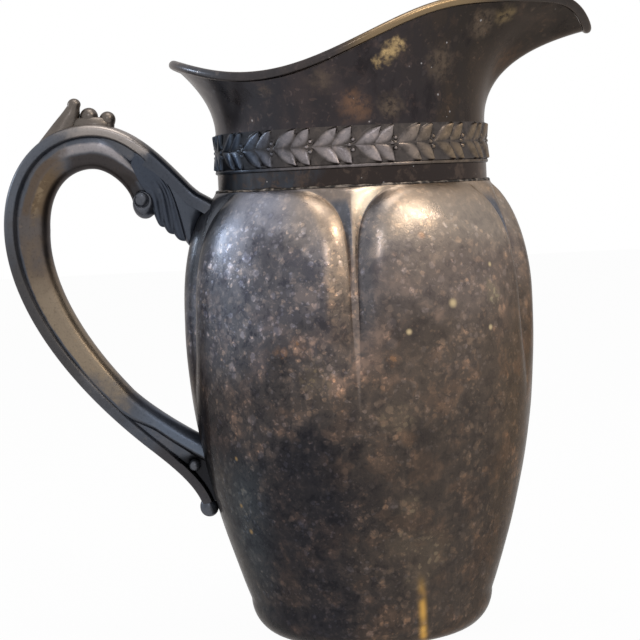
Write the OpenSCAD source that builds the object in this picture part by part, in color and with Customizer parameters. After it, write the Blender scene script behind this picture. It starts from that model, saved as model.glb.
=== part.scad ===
// Ewer with a lobed body, a wide flared neck and pouring lip, and a scroll handle.
// Sheet and cast pieces, soldered together. Millimetres, +Z up, spout towards +X,
// handle towards -X. The origin is the centre of the base, on the table.

/* [Body] */
// Outer radius of the body at its widest, over the lobes
body_r = 64.4; // [60:0.1:70]
// Height of the widest place above the table
belly_z = 114.8; // [100:0.1:122]
// Outer radius just above the rounded foot
base_r = 44.7; // [40:0.1:50]
// Radius of the rounded foot corner
foot_round = 14.5; // [10:0.5:17]
// Height of the soldered seam between body and neck
seam_z = 164.6; // [158:0.1:172]
// Thickness of the body sheet
body_wall = 1.2; // [0.9:0.1:1.8]

/* [Lobes] */
// Angle that each of the four broad lobes takes up
broad_lobe = 72; // [66:1:78]
// Depth of the grooves between the lobes
groove_depth = 3.8; // [1:0.1:4.5]
// Width over which a lobe's edge rolls into its groove
groove_round = 11; // [6:0.5:14]
// Half width of the three-cornered hollow at the top of a groove
spandrel_w = 15; // [8:0.5:18]
// Height over which that hollow narrows to a line
spandrel_drop = 10.5; // [7:0.5:16]
// Height where the grooves fade out
groove_end_z = 74; // [60:1:90]

/* [Base] */
// Thickness of the base plate
plate_t = 1.2; // [0.9:0.1:1.8]
// Width of the flat ring that the ewer rests on
rest_w = 4.5; // [3:0.5:8]
// Height that the middle of the base plate is pressed up
dish_h = 2.4; // [1.5:0.1:4]

/* [Neck] */
// Outer radius of the straight collar
neck_r = 49.4; // [46:0.1:53]
// Thickness of the neck sheet
neck_wall = 1.2; // [0.9:0.1:1.8]
// Height of the straight collar above the seam
collar_h = 21.4; // [20:0.1:26]
// Radius of the mouth at its sides
side_r = 54.4; // [51:0.1:60]
// Radius of the mouth over the handle
back_r = 62.6; // [58:0.1:70]
// Reach of the pouring lip from the axis
spout_r = 86.6; // [78:0.1:96]
// Mean height of the mouth above the seam
mouth_h = 49.9; // [45:0.1:56]
// How far the mouth rises from its sides to the spout
mouth_tilt = 11.8; // [8:0.1:18]
// How far the middle of the pouring lip droops
lip_droop = 9.7; // [5:0.1:14]
// Radius of the wire round the mouth
rim_wire_r = 1.7; // [1:0.1:2.2]

/* [Laurel band] */
// Height of the band's lower edge above the seam
band_lift = 6.6; // [4:0.1:7]
// Height of the band
band_h = 14.6; // [12:0.1:14.6]
// Thickness of the strip under the leaves
strip_t = 0.3; // [0.2:0.05:0.8]
// Height of the leaves over the strip
leaf_rise = 0.7; // [0.4:0.05:1.4]
// Leaves along each side of the stem
leaf_count = 40; // [30:2:44]

/* [Handle] */
// Clear gap for the fingers between body and handle
finger_gap = 48.3; // [40:0.1:55]
// Height of the top of the handle above the seam
crown_h = 27.8; // [24:0.1:32]
// How far the top of the handle lies in from its furthest reach
crown_in = 33; // [28:0.5:38]
// Thickness of the outer rail
rail_t = 5.6; // [4.5:0.1:7]
// Width of the outer rail
rail_w = 15; // [11:0.5:18]
// Thickness of the inner roll
roll_t = 10.7; // [8:0.1:12]
// Width of the inner roll
roll_w = 13; // [10:0.5:15]
// Height of the roll's heel, where it meets the body
heel_z = 70.8; // [64:0.1:78]
// Thickness of the heel at the body
heel_t = 8.2; // [7:0.1:10]
// How far the tail bead lies below the heel
tail_drop = 22.6; // [19:0.1:27]
// Radius of the rolled nose at the roll's upper end
nose_r = 4.4; // [3:0.1:4.8]
// Distance of the nose from the neck
nose_out = 27.5; // [26:0.1:31]
// Depth of the flutes on the upper bracket
flute = 1; // [0.4:0.1:1.6]

/* [Thumb rest and beads] */
// Height of the thumb spur over the rail
spur_h = 10.5; // [6:0.5:14]
// Length of the thumb spur along the rail
spur_len = 17; // [12:0.5:20]
// Width of the thumb spur across the rail
spur_w = 9; // [5:0.5:11]
// Radius of the larger thumb bead
front_bead_r = 3.3; // [2.4:0.1:4]
// Radius of the smaller thumb bead
rear_bead_r = 2.8; // [2:0.1:3.4]
// Radius of the small bead under the heel
heel_bead_r = 1.9; // [1.2:0.1:2.4]
// Radius of the bead at the end of the tail
tail_bead_r = 3.4; // [2.6:0.1:4.2]

/* [Hidden] */
$fn = 96;

// Thickness of a solder film between two pieces
film = 0.15;
// Size of a solder fillet
fillet = 1.1;
// Clearance of a cast foot from the lobed wall, and between the handle's two strands
seat_gap = 0.7;
strand_gap = 0.25;

// Curves and skins that the pieces share

function lerp(a, b, t) = a + (b - a) * t;
function clamp01(t) = max(0, min(1, t));
function ease(t) = let (c = clamp01(t)) c * c * (3 - 2 * c);
function bump(x, half) = exp(-pow(x / half, 2));
function rounded(c, p) = sign(c) * pow(abs(c), 2 / p);
function unit(v) = v / norm(v);
function bezier(p, t) = pow(1 - t, 3) * p[0] + 3 * t * pow(1 - t, 2) * p[1]
                      + 3 * t * t * (1 - t) * p[2] + pow(t, 3) * p[3];
function bezier_way(p, t) = unit(pow(1 - t, 2) * (p[1] - p[0]) + 2 * t * (1 - t) * (p[2] - p[1])
                                 + t * t * (p[3] - p[2]));
function total(v, i = 0) = i < len(v) ? v[i] + total(v, i + 1) : 0;
function middle(points) = [for (k = [0 : 2]) total([for (p = points) p[k]]) / len(points)];
// A point of a half plane through the axis, turned to the angle a
function turned(a, p) = [p[0] * cos(a), p[0] * sin(a), p[1]];

function quad(a, b, c, d) = [[a, b, c], [a, c, d]];
function skin(n, m, closed) = [for (i = [0 : n - (closed ? 1 : 2)], j = [0 : m - 1])
    let (i2 = (i + 1) % n, j2 = (j + 1) % m) each quad(i * m + j, i2 * m + j, i2 * m + j2, i * m + j2)];

// A wall that runs all the way round: rows go up its outside and down its inside
module wall_of(rows) {
    polyhedron([for (r = rows) each r], skin(len(rows), len(rows[0]), true));
}

// A solid carried along a path: one ring of points per row. A ring's two halves mirror each other, so strips from
// side to side close each end
module carried(rows) {
    n = len(rows);
    m = len(rows[0]);
    strips = [each [for (j = [0 : m / 2 - 2]) [j, j + 1, m - 1 - j]],
              each [for (j = [1 : m / 2 - 1]) [j, m - 1 - j, m - j]]];
    last = (n - 1) * m * [1, 1, 1];
    polyhedron([for (r = rows) each r],
               [each skin(n, m, false), each strips, each [for (f = strips) last + [f[0], f[2], f[1]]]]);
}

// Body: a rounded foot, a swelling side and a round shoulder, raised into lobes

// Angles round the body, closer together near the grooves
narrow_lobe = 180 - 2 * broad_lobe;
broad_steps = 10;
narrow_steps = 8;
crowding = 1.6;
function across(start, width, steps) = [for (k = [0 : steps - 1])
    let (u = 2 * k / steps - 1) start + width / 2 * (1 + sign(u) * (1 - pow(1 - abs(u), crowding)))];
half_round = [each across(-narrow_lobe / 2, narrow_lobe, narrow_steps),
              each across(narrow_lobe / 2, broad_lobe, broad_steps),
              each across(90, broad_lobe, broad_steps)];
body_angles = [each half_round, each [for (a = half_round) a + 180]];

// Angle from the nearest groove, the same in all four quarters
function fold(a) = let (m = abs((a + 540) % 360 - 180)) min(m, 180 - m);
function from_groove(a) = min(abs(fold(a) - narrow_lobe / 2), 90 - fold(a));

// Shape of the side below the belly, and of the shoulder above it
taper_power = 1.9;
shoulder_power = 2.5;
shoulder_curl = 1.4;
shoulder_lip = 0.6;
function crest_r(z) = z < belly_z
    ? body_r - (body_r - base_r) * pow(max(belly_z - z, 0) / (belly_z - foot_round), taper_power)
    : neck_r + (body_r - neck_r)
      * pow(1 - pow((z - belly_z) / (seam_z + shoulder_lip - belly_z), shoulder_power), 1 / shoulder_curl);

// A groove is deepest between arch-topped lobes and fades into the plain lower body. A lobe's edge is a quarter
// of an oval, so it meets the hollow in a sharp line
groove_full_over = 16;
groove_full_z = belly_z + groove_full_over;
groove_start = 3;
function groove(a, z) = let (
    drop = max(seam_z - z, 0),
    edge = spandrel_w * exp(-drop / spandrel_drop),
    rise = clamp01((crest_r(z) * from_groove(a) * PI / 180 - edge) / groove_round))
    groove_depth * (1 - exp(-drop / groove_start)) * ease((z - groove_end_z) / (groove_full_z - groove_end_z))
    * (1 - sqrt(1 - pow(1 - rise, 2)));
function lobed_r(a, z) = crest_r(z) - groove(a, z);

// The body's top edge turns in to a ledge that the neck stands on
ledge_in = 1;
ledge_r = neck_r - neck_wall - ledge_in;
foot_steps = 4;
side_steps = 17;
shoulder_crowding = 1.5;
function body_row(k, inset) = let (
    v = clamp01((k - foot_steps) / side_steps),
    turn = -90 + 90 * k / foot_steps,
    corner = foot_round - inset,
    z = lerp(foot_round, seam_z - inset, 1 - pow(1 - v, shoulder_crowding)))
    [for (a = body_angles)
        k < foot_steps ? turned(a, [base_r - foot_round + corner * cos(turn), foot_round + corner * sin(turn)])
        : turned(a, [k <= foot_steps + side_steps ? lobed_r(a, z) - inset : ledge_r, z])];

module body_shell() {
    top = foot_steps + side_steps + 1;
    color("slategray")
        wall_of(concat([for (k = [0 : top]) body_row(k, 0)], [for (k = [top : -1 : 0]) body_row(k, body_wall)]));
}

// Base: a pressed plate let into the bottom of the body and soldered from inside

opening_r = base_r - foot_round;
plate_r = opening_r - film;
dish_slope = 3;

module base_plate() {
    rest_r = plate_r - rest_w;
    crown_r = rest_r - dish_slope;
    color("dimgray")
        rotate_extrude()
            polygon([[0, dish_h], [crown_r, dish_h], [rest_r, 0], [plate_r, 0], [plate_r, plate_t],
                     [rest_r, plate_t], [crown_r, dish_h + plate_t], [0, dish_h + plate_t]]);
}

module base_solder() {
    low = max(plate_t, body_wall) + film;
    rise = fillet * tan(45 / foot_steps);
    color("silver")
        rotate_extrude()
            polygon([[opening_r - fillet, low], [opening_r, low], [opening_r + fillet, low + rise],
                     [opening_r, low + fillet]]);
}

// Neck: a straight collar that flares into a mouth with a drooping pouring lip

// Angles round the neck, closer together at the spout
neck_half_steps = 27;
spout_crowding = 1.5;
neck_angles = [for (k = [-neck_half_steps : neck_half_steps - 1])
    180 * sign(k) * pow(abs(k) / neck_half_steps, spout_crowding)];
// Half angles of the spout, of the swell over the handle and of the lip's droop
spout_half = 28;
back_half = 50;
droop_half = 9;
// Second and third waves of the mouth's height round the rim
mouth_saddle = 4.2;
mouth_twist = -3.7;
// Where the flare turns outwards, as a share of its height, and how much later it does at the spout
turn_out = 0.5;
spout_turn_out = 0.24;
collar_z = seam_z + collar_h;
neck_z = seam_z + film;

function mouth_r(a) = side_r + (spout_r - side_r) * bump(a, spout_half)
                    + (back_r - side_r) * bump(180 - abs(a), back_half);
function mouth_z(a) = seam_z + mouth_h + mouth_tilt * cos(a) + mouth_saddle * cos(2 * a)
                    + mouth_twist * cos(3 * a) - lip_droop * bump(a, droop_half);
function flare_z(a) = lerp(collar_z, mouth_z(a), turn_out + spout_turn_out * bump(a, spout_half));
// Radius and height up the flare, and its direction, for s from 0 at the collar to 1 at the mouth
function flare(a, s) = [neck_r + (mouth_r(a) - neck_r) * s * s,
    pow(1 - s, 2) * collar_z + 2 * s * (1 - s) * flare_z(a) + s * s * mouth_z(a)];
function flare_way(a, s) = unit([s * (mouth_r(a) - neck_r),
    (1 - s) * (flare_z(a) - collar_z) + s * (mouth_z(a) - flare_z(a))]);

collar_steps = 2;
flare_steps = 9;
function neck_row(k, inset) = [for (a = neck_angles) let (
    s = (k - collar_steps) / flare_steps,
    way = s > 0 ? flare_way(a, s) : [0, 1],
    p = s > 0 ? flare(a, s) : [neck_r, lerp(neck_z, collar_z, k / collar_steps)])
    turned(a, p + inset * [-way[1], way[0]])];

module neck_spout() {
    top = collar_steps + flare_steps;
    color("dimgray")
        wall_of(concat([for (k = [0 : top]) neck_row(k, 0)], [for (k = [top : -1 : 0]) neck_row(k, neck_wall)]));
}

module neck_solder() {
    color("silver")
        rotate_extrude()
            polygon([[neck_r + film, neck_z], [neck_r + fillet, neck_z], [neck_r + film, neck_z + fillet]]);
}

// Wire seated on the edge of the sheet, one ring round each direction of the mouth
wire_sides = 8;
function wire_ring(a) = let (
    way = flare_way(a, 1),
    side = [way[1], -way[0]],
    centre = flare(a, 1) - side * neck_wall / 2 + way * (rim_wire_r + film))
    [for (j = [0 : wire_sides - 1]) let (b = 360 * j / wire_sides)
        turned(a, centre + rim_wire_r * (cos(b) * side + sin(b) * way))];

module rim_wire() {
    rings = [for (a = neck_angles) wire_ring(a)];
    color("gray")
        wall_of([for (j = [0 : wire_sides - 1]) [for (ring = rings) ring[j]]]);
}

// Laurel band: leaves in pairs along a stem, on a thin strip with a bead along its lower edge

band_r = neck_r + film;
band_z = seam_z + band_lift;
bead_h = 1.6;
bead_rise = 0.6;
// Angle that a leaf leans over, and the places across it of its edge and its rib
leaf_lean = 7;
leaf_parts = [0, 0.18, 0.55];
leaf_crest = [0.1, 0.55, 1];
leaf_blunt = 0.2;
stem_rise = 0.6;
leaf_steps = 3;
leaf_margin = 0.4;
leaf_h = (band_h - bead_h) / 2 - leaf_margin;
stem_z = band_z + (band_h + bead_h) / 2;
// Leaves point to the spout on both sides, so they stand upright at the handle and the lip
function lean(a) = -leaf_lean * max(-1, min(1, 2 * sin(a)));
// One level row round the band: shift is how far the leaves lean there, rise how far each part stands out
function band_row(z, shift, rise) = [for (i = [0 : leaf_count - 1], j = [0 : len(leaf_parts) - 1])
    let (a = 360 * (i + leaf_parts[j]) / leaf_count - 180) turned(a + lean(a) * shift, [band_r + rise[j], z])];
function level(rise) = [for (part = leaf_parts) rise];
function leaf_row(v) = let (h = abs(v), swell = sin(180 * lerp(leaf_blunt, 1, h)))
    band_row(stem_z + v * leaf_h, h,
             [for (c = leaf_crest) strip_t + leaf_rise * max(c * swell, h == 0 ? stem_rise : 0)]);

module laurel_band() {
    top = band_z + band_h;
    color("gray")
        wall_of([band_row(band_z, 1, level(strip_t)),
                 band_row(band_z + bead_h / 2, 1, level(strip_t + bead_rise)),
                 band_row(band_z + bead_h, 1, level(strip_t)),
                 each [for (k = [-leaf_steps : leaf_steps]) leaf_row(k / leaf_steps)],
                 band_row(top, 1, level(strip_t)), band_row(top, 1, level(0)), band_row(band_z, 1, level(0))]);
}

// Handle: an outer rail and an inner roll side by side, which part at both ends

// The outer outline is four curves between five places, each by distance from the axis and height
reach = body_r + finger_gap + roll_t + strand_gap + rail_t;
reach_drop = 10.8;
reach_z = seam_z - reach_drop;
seat_out = 5.3;
seat_drop = 1.8;
seat = [neck_r + seat_out, seam_z - seat_drop];
crown = [reach - crown_in, seam_z + crown_h];
tail_bead_z = heel_z - tail_drop;
tail_bead_d = crest_r(tail_bead_z) + tail_bead_r + film;
tail_out = 19;
tail_top = [crest_r(heel_z) + tail_out, heel_z];
tail_rest = [0.82, 0.79];
tail_end = [tail_bead_d, tail_bead_z] + (tail_bead_r + film) * tail_rest;
// How far each curve runs on along its end's direction
seat_pull = [14, 15];
crown_pull = [17, 0];
reach_pull = [0, 25];
tail_pull = [32.6, 27.8];
tail_turn = [8.3, 7.1];
end_pull = [2.7, 6.5];
outline = [
    [seat, seat + seat_pull, crown - crown_pull, crown],
    [crown, crown + crown_pull, [reach, reach_z] + reach_pull, [reach, reach_z]],
    [[reach, reach_z], [reach, reach_z] - reach_pull, tail_top + tail_pull, tail_top],
    [tail_top, tail_top - tail_turn, tail_end + end_pull, tail_end]];
outline_end = len(outline);
function outline_at(s) = let (k = min(floor(s), outline_end - 1)) bezier(outline[k], s - k);
function outline_way(s) = let (k = min(floor(s), outline_end - 1)) bezier_way(outline[k], s - k);
// A place beside the outline, by its distance out from it, and the same place sideways of the middle
function beside(s, out) = let (w = outline_way(s)) outline_at(s) + out * [-w[1], w[0]];
function handle_at(s, out, y) = let (p = beside(s, out)) [-p[0], y, p[1]];
// A point moved level until it lies on the body, and a ring closed to its middle in such points
function seated(p) = let (a = atan2(p[1], p[0]), r = (p[2] < seam_z ? lobed_r(a, p[2]) : neck_r) + seat_gap)
    [-sqrt(r * r - p[1] * p[1]), p[1], p[2]];
closing = [0.3, 0.65, 1];
opening = [1, 0.65, 0.3];
function seat_rows(ring, shares) = let (c = middle(ring))
    [for (q = shares) [for (p = ring) seated(lerp(c, p, q))]];

section_steps = 14;
section = [for (j = [0 : section_steps - 1]) 360 * j / section_steps];
squareness = 2.6;

// The rail keeps its size to the outer bend, then tapers to the tail. A fin inside the tail closes the corner
// between heel and body
tail_t = 4.4;
tail_w = 6;
taper_s = 2;
taper_late = 1.5;
rail_steps = 36;
seat_s = 0.02;
first_s = 0.05;
fin_h = 3;
fin_w = 2.4;
fin_s = 3.52;
fin_half_s = 0.34;
fin_from = [0.8, 0.9];
function rail_taper(s) = clamp01((s - taper_s) / (outline_end - taper_s));
function rail_thick(s) = lerp(rail_t, tail_t, rail_taper(s));
function rail_wide(s) = lerp(rail_w, tail_w, pow(rail_taper(s), taper_late));
function rail_ring(s) = [for (b = section) let (
    deep = (1 - rounded(cos(b), squareness)) / 2,
    fin = fin_h * bump(s - fin_s, fin_half_s),
    drawn = deep > fin_from[0] ? clamp01(fin) : 0,
    y = rail_wide(s) / 2 * rounded(sin(b), squareness))
    handle_at(s, -rail_thick(s) * lerp(deep, 1, drawn) - (deep > fin_from[1] ? fin : 0),
              lerp(y, sign(y) * min(abs(y), fin_w / 2), drawn))];

module handle_rail() {
    color("dimgray")
        carried([each seat_rows(rail_ring(seat_s), closing), rail_ring(first_s),
                 each [for (k = [1 : rail_steps]) rail_ring(outline_end * k / rail_steps)]]);
}

// The roll lies along the rail's inside. It curls down to a nose above, and leaves the rail for its heel below
curl_s = 0.9;
leave_s = 2.84;
roll_end_t = 7;
heel_w = 14;
nose_w = 11;
curl_pull = 8;
heel_pull = 10;
heel_lean = unit([0.85, 0.5]);
nose_drop = 2.6;
nose = [neck_r + nose_out, seam_z - nose_drop];
heel = [crest_r(heel_z), heel_z];
function roll_thick(s) = lerp(roll_t, roll_end_t, clamp01((s - taper_s) / (leave_s - taper_s)));
function roll_out(s) = -(rail_thick(s) + strand_gap + roll_thick(s) / 2);
function roll_ring(s) = [for (b = section)
    handle_at(s, roll_out(s) + roll_thick(s) / 2 * cos(b), roll_w / 2 * sin(b))];
curl_top = beside(curl_s, roll_out(curl_s));
heel_top = beside(leave_s, roll_out(leave_s));
curl = [nose, nose + [0, curl_pull], curl_top - curl_pull * outline_way(curl_s), curl_top];
heel_curve = [heel_top, heel_top + heel_pull * outline_way(leave_s), heel + heel_pull * heel_lean, heel];
// A ring across one of these two curves, set back along it
function ring_on(curve, t, thick, wide, back = 0) = let (
    w = bezier_way(curve, t),
    c = bezier(curve, t) - w * back)
    [for (b = section) let (p = c + thick / 2 * cos(b) * [-w[1], w[0]]) [-p[0], wide / 2 * sin(b), p[1]]];

function curl_thick(t) = lerp(2 * nose_r, roll_t, ease(t));
nose_turns = [12, 40, 65];
curl_steps = 6;
roll_steps = 30;
heel_steps = 4;

module handle_roll() {
    color("gray")
        carried([for (b = nose_turns) ring_on(curl, 0, 2 * nose_r * sin(b), nose_w * sin(b), nose_r * cos(b)),
                 each [for (k = [0 : curl_steps - 1]) let (t = k / curl_steps)
                     ring_on(curl, t, curl_thick(t), lerp(nose_w, roll_w, t))],
                 each [for (k = [0 : roll_steps - 1]) roll_ring(lerp(curl_s, leave_s, k / roll_steps))],
                 each [for (k = [0 : heel_steps - 1]) let (t = k / heel_steps)
                     ring_on(heel_curve, t, lerp(roll_end_t, heel_t, t), lerp(roll_w, heel_w, t))],
                 each seat_rows(ring_on(heel_curve, 1, heel_t, heel_w), opening)]);
}

// The bracket fills the corner between rail, roll and body: a fan of flutes that spread from the place where rail
// and roll part, and a plain web beside the body
flutes = 4;
flute_steps = 4;
web_steps = 5;
fan_share = 0.62;
scallop = 1.2;
bracket_h = 19.2;
bracket_w = 11;
bracket_s = 0.52;
apex_t = 0.44;
curl_share = 0.75;
bracket_drop = 6.1;
bracket_sag = [1.4, 5.6];
bracket_gap = 0.6;
web_drop = 9.1;
fan_bend = 3;
scallop_way = unit([0.3, -1]);
bracket_low = nose - [nose_r, bracket_drop];
bracket_z = seam_z - bracket_h;
bracket_foot = [bracket_low, bracket_low - bracket_sag, [crest_r(bracket_z) + seat_gap, bracket_z]];
// The fan's two sides, along the roll's curl and under the rail, and its far edge
function curl_side(t) = let (w = bezier_way(curl, t))
    bezier(curl, t) + (curl_thick(t) / 2 + bracket_gap) * [-w[1], w[0]];
function along_curl(q) = q < curl_share ? curl_side(apex_t * (1 - q / curl_share))
    : lerp(curl_side(0), bracket_low, (q - curl_share) / (1 - curl_share));
function under_rail(q) = lerp(beside(bracket_s, -rail_t - bracket_gap), up_body(1), q);
function scalloped(t) = pow(1 - t, 2) * bracket_foot[0] + 2 * t * (1 - t) * bracket_foot[1]
    + t * t * bracket_foot[2] + scallop * abs(sin(180 * flutes * t)) * scallop_way;
function up_body(t) = let (z = lerp(bracket_z, seam_z - web_drop, t)) [crest_r(z) + seat_gap, z];
function far_edge(u) = u < fan_share ? scalloped(u / fan_share) : up_body((u - fan_share) / (1 - fan_share));
// One row of the fan from the parting place out to the far edge
function bracket_ring(u) = let (
    swell = u < fan_share ? abs(sin(180 * flutes * u / fan_share)) : 1,
    spread = far_edge(u) - lerp(along_curl(1), up_body(1), u))
    [for (b = section) let (
        q = (1 + cos(b)) / 2,
        p = lerp(along_curl(q), under_rail(q), u) + pow(q, fan_bend) * spread,
        wide = bracket_w / 2 - flute * q * (1 - swell))
        [-p[0], wide * rounded(sin(b), squareness), p[1]]];

module handle_bracket() {
    steps = flutes * flute_steps;
    color("dimgray")
        carried([for (k = [0 : steps - 1]) bracket_ring(fan_share * k / steps),
                 each [for (k = [0 : web_steps]) bracket_ring(lerp(fan_share, 1, k / web_steps))]]);
}

// The thumb rest: a spur that leans over two beads, in a row along the top of the rail
bead_gap = 0.6;
along = 1 / (3 * norm(crown_pull));
front_bead_s = 0.98;
rear_bead_s = front_bead_s - (front_bead_r + rear_bead_r + bead_gap) * along;
spur_start_s = front_bead_s + (front_bead_r + bead_gap) * along;
spur_half_s = spur_len / 2 * along;
spur_tip_r = 1.3;
spur_lean = 7;
spur_rows = [0.25, 0.5, 0.75, 0.95, 1];
function rail_drop(y) = rail_t / 2 * (1 - pow(1 - pow(abs(2 * y / rail_w), squareness), 1 / squareness));
spur_s = spur_start_s + spur_half_s;
spur_tip = outline_at(spur_s) + [-spur_lean, spur_h];
function spur_foot(b, q) = let (y = -q * spur_w / 2 * sin(b))
    handle_at(spur_s + q * spur_half_s * cos(b), film - rail_drop(y), y);
function spur_head(b) = [-(spur_tip[0] + spur_tip_r * cos(b)), -spur_tip_r * sin(b), spur_tip[1]];

module thumb_spur() {
    color("dimgray")
        carried([for (q = closing) [for (b = section) spur_foot(b, q)],
                 each [for (f = spur_rows) [for (b = section) lerp(spur_foot(b, 1), spur_head(b), f)]]]);
}

module thumb_beads() {
    color("gray")
        for (bead = [[front_bead_s, front_bead_r], [rear_bead_s, rear_bead_r]])
            translate(handle_at(bead[0], bead[1] + film, 0))
                sphere(bead[1]);
}

// Beads under the handle: one on each side of the fin below the heel, and one at the end of the tail
heel_bead_out = 2.9;
heel_bead_z = heel_z - heel_t / 2 - heel_bead_r + film;
module heel_bead() {
    d = crest_r(heel_bead_z) + heel_bead_r + heel_bead_out;
    color("gray")
        for (side = [-1, 1])
            translate([-d, side * (fin_w / 2 + film + heel_bead_r), heel_bead_z])
                sphere(heel_bead_r);
}

module tail_bead() {
    color("gray")
        translate([-tail_bead_d, 0, tail_bead_z])
            sphere(tail_bead_r);
}

body_shell();
base_plate();
base_solder();
neck_spout();
neck_solder();
laurel_band();
rim_wire();
handle_rail();
handle_roll();
handle_bracket();
thumb_spur();
thumb_beads();
heel_bead();
tail_bead();
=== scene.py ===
# %% [markdown]
# # An old plated ewer
# This lesson dresses a imported model of a water pitcher whose silver plate has tarnished and worn. The
# imported model is the fixed frame: it says where each piece is, and how large. We load it first.

# %% Load the imported model
import math
import bpy
import numpy as np
from mathutils import Matrix, Vector


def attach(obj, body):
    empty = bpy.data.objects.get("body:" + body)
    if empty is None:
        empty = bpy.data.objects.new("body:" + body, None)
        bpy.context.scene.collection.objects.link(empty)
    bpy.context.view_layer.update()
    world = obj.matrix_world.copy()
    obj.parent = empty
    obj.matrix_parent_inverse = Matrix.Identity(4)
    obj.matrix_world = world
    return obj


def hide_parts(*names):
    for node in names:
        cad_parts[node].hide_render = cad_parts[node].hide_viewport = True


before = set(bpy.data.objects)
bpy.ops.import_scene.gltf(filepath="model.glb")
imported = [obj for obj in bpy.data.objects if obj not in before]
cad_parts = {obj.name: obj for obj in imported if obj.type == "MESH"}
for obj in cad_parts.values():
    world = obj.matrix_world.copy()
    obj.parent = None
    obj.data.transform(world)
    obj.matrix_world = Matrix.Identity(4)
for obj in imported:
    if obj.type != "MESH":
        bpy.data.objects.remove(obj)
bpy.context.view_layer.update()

scene = bpy.context.scene
MM = 0.001
print("packed pieces:", ", ".join(sorted(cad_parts)))

# %% [markdown]
# ## The camera
# The pitcher was seen from its side, a little above its middle, with a long lens, and the picture leans
# by almost three degrees. A camera could be posed by hand, but a viewpoint, a point to look at and a roll
# say it exactly. The lens angle follows from how many millimetres one pixel covers at the point that we
# look at.

# %% Camera
PICTURE, MM_PER_PIXEL = 640, 0.37
SIDESTEP, ROLL = math.radians(1), math.radians(2.8)
EYE_AWAY, EYE_HIGH = 814, 164.6
eye = Vector((EYE_AWAY * math.sin(SIDESTEP), -EYE_AWAY * math.cos(SIDESTEP), EYE_HIGH)) * MM
aim = Vector((-14.4, 0, 116.1)) * MM
look = (aim - eye).normalized()
level = look.cross(Vector((0, 0, 1))).normalized()
upright = level.cross(look)
to_right = level * math.cos(ROLL) - upright * math.sin(ROLL)
to_top = level * math.sin(ROLL) + upright * math.cos(ROLL)

camera_data = bpy.data.cameras.new("camera")
camera_data.lens_unit = "FOV"
camera_data.angle = 2 * math.atan(PICTURE / 2 * MM_PER_PIXEL * MM / (aim - eye).length)
camera = bpy.data.objects.new("camera", camera_data)
axes = Matrix((to_right, to_top, -look)).transposed()
camera.matrix_world = Matrix.Translation(eye) @ axes.to_4x4()
scene.collection.objects.link(camera)
scene.camera = camera
print("lens angle", round(math.degrees(camera_data.angle), 2), "degrees")

# %% [markdown]
# ## One way to make every surface
# Each piece of the pitcher is a bent grid: rows of points, each row running once round the piece. A wall
# of sheet goes up the outside and comes down the inside, so its rows close into a ring. A cast strand is
# a row of rings with a fan over each end. One function makes both, finds which way its faces point from
# the volume that they enclose, and turns them outwards if they aren't. A finish can read numbers that are
# kept at each point, so the same function also stores such marks.

# %% Grid to mesh
CREASE = math.radians(50)
pieces = {}


def surface(name, node, slot, points, ends="ring", **marks):
    """Mesh on a grid of points, rows by columns by xyz in millimetres. Columns close on themselves. Rows
    close as well (ends="ring"), or a fan to the middle of the first and last row shuts them
    (ends="fans"). Each mark is one number per point, kept as an attribute. The piece rides on the one
    body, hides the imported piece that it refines, and keeps its finish's slot."""
    rows, columns = points.shape[:2]
    spots = points.reshape(-1, 3)
    i = np.arange(rows if ends == "ring" else rows - 1)[:, None]
    j = np.arange(columns)[None, :]
    here = i * columns
    there = (i + 1) % rows * columns
    after = (j + 1) % columns
    corners = np.broadcast_arrays(here + j, there + j, there + after, here + after)
    quads = np.stack(corners, -1).reshape(-1, 4)
    fans = np.empty((0, 3), int)
    if ends == "fans":
        spots = np.vstack([spots, points[0].mean(0), points[-1].mean(0)])
        k, k2 = j[0], after[0]
        first = np.full(columns, rows * columns)
        top = (rows - 1) * columns
        fans = np.vstack([np.stack([first, k, k2], 1), np.stack([first + 1, top + k2, top + k], 1)])
    triangles = np.vstack([quads[:, :3], quads[:, [0, 2, 3]], fans])
    a, b, c = (spots[triangles[:, n]] for n in range(3))
    volume = np.einsum("ij,ij->", a, np.cross(b, c)) / 6
    if volume < 0:
        quads = quads[:, ::-1]
        fans = fans[:, ::-1]
    mesh = bpy.data.meshes.new(name)
    mesh.from_pydata((spots * MM).tolist(), [], quads.tolist() + fans.tolist())
    mesh.shade_smooth()
    mesh.set_sharp_from_angle(angle=CREASE)
    for mark, grid in marks.items():
        grid = np.broadcast_to(grid, (rows, columns))
        middles = [grid[0].mean(), grid[-1].mean()] if ends == "fans" else []
        values = np.append(grid.ravel(), middles).astype(np.float32)
        mesh.attributes.new(mark, "FLOAT", "POINT").data.foreach_set("value", values)
    piece = bpy.data.objects.new(name, mesh)
    scene.collection.objects.link(piece)
    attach(piece, "root")
    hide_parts(node)
    pieces.setdefault(slot, []).append(piece)
    print(f"{name}: {len(triangles)} triangles, {abs(volume) / 1000:.1f} cubic centimetres")


# %% Small formulas
def turned(angle, radius, height):
    """Points at an angle in degrees, a radius and a height about the pitcher's axis."""
    turn = np.radians(angle)
    return np.stack(np.broadcast_arrays(radius * np.cos(turn), radius * np.sin(turn), height), -1)


def full_turn(steps):
    """Angles once round, in radians."""
    return np.radians(np.linspace(0, 360, steps, endpoint=False))


def clamp(t):
    """A value held between 0 and 1."""
    return np.clip(t, 0, 1)


def ease(t):
    """0 below 0, 1 above 1, and a smooth step between."""
    t = clamp(t)
    return t * t * (3 - 2 * t)


def bump(x, half):
    """1 in the middle, falling off as a bell."""
    return np.exp(-(x / half) ** 2)


def blend(a, b, t):
    """From a to b as t goes from 0 to 1."""
    return a + (b - a) * t


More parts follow.
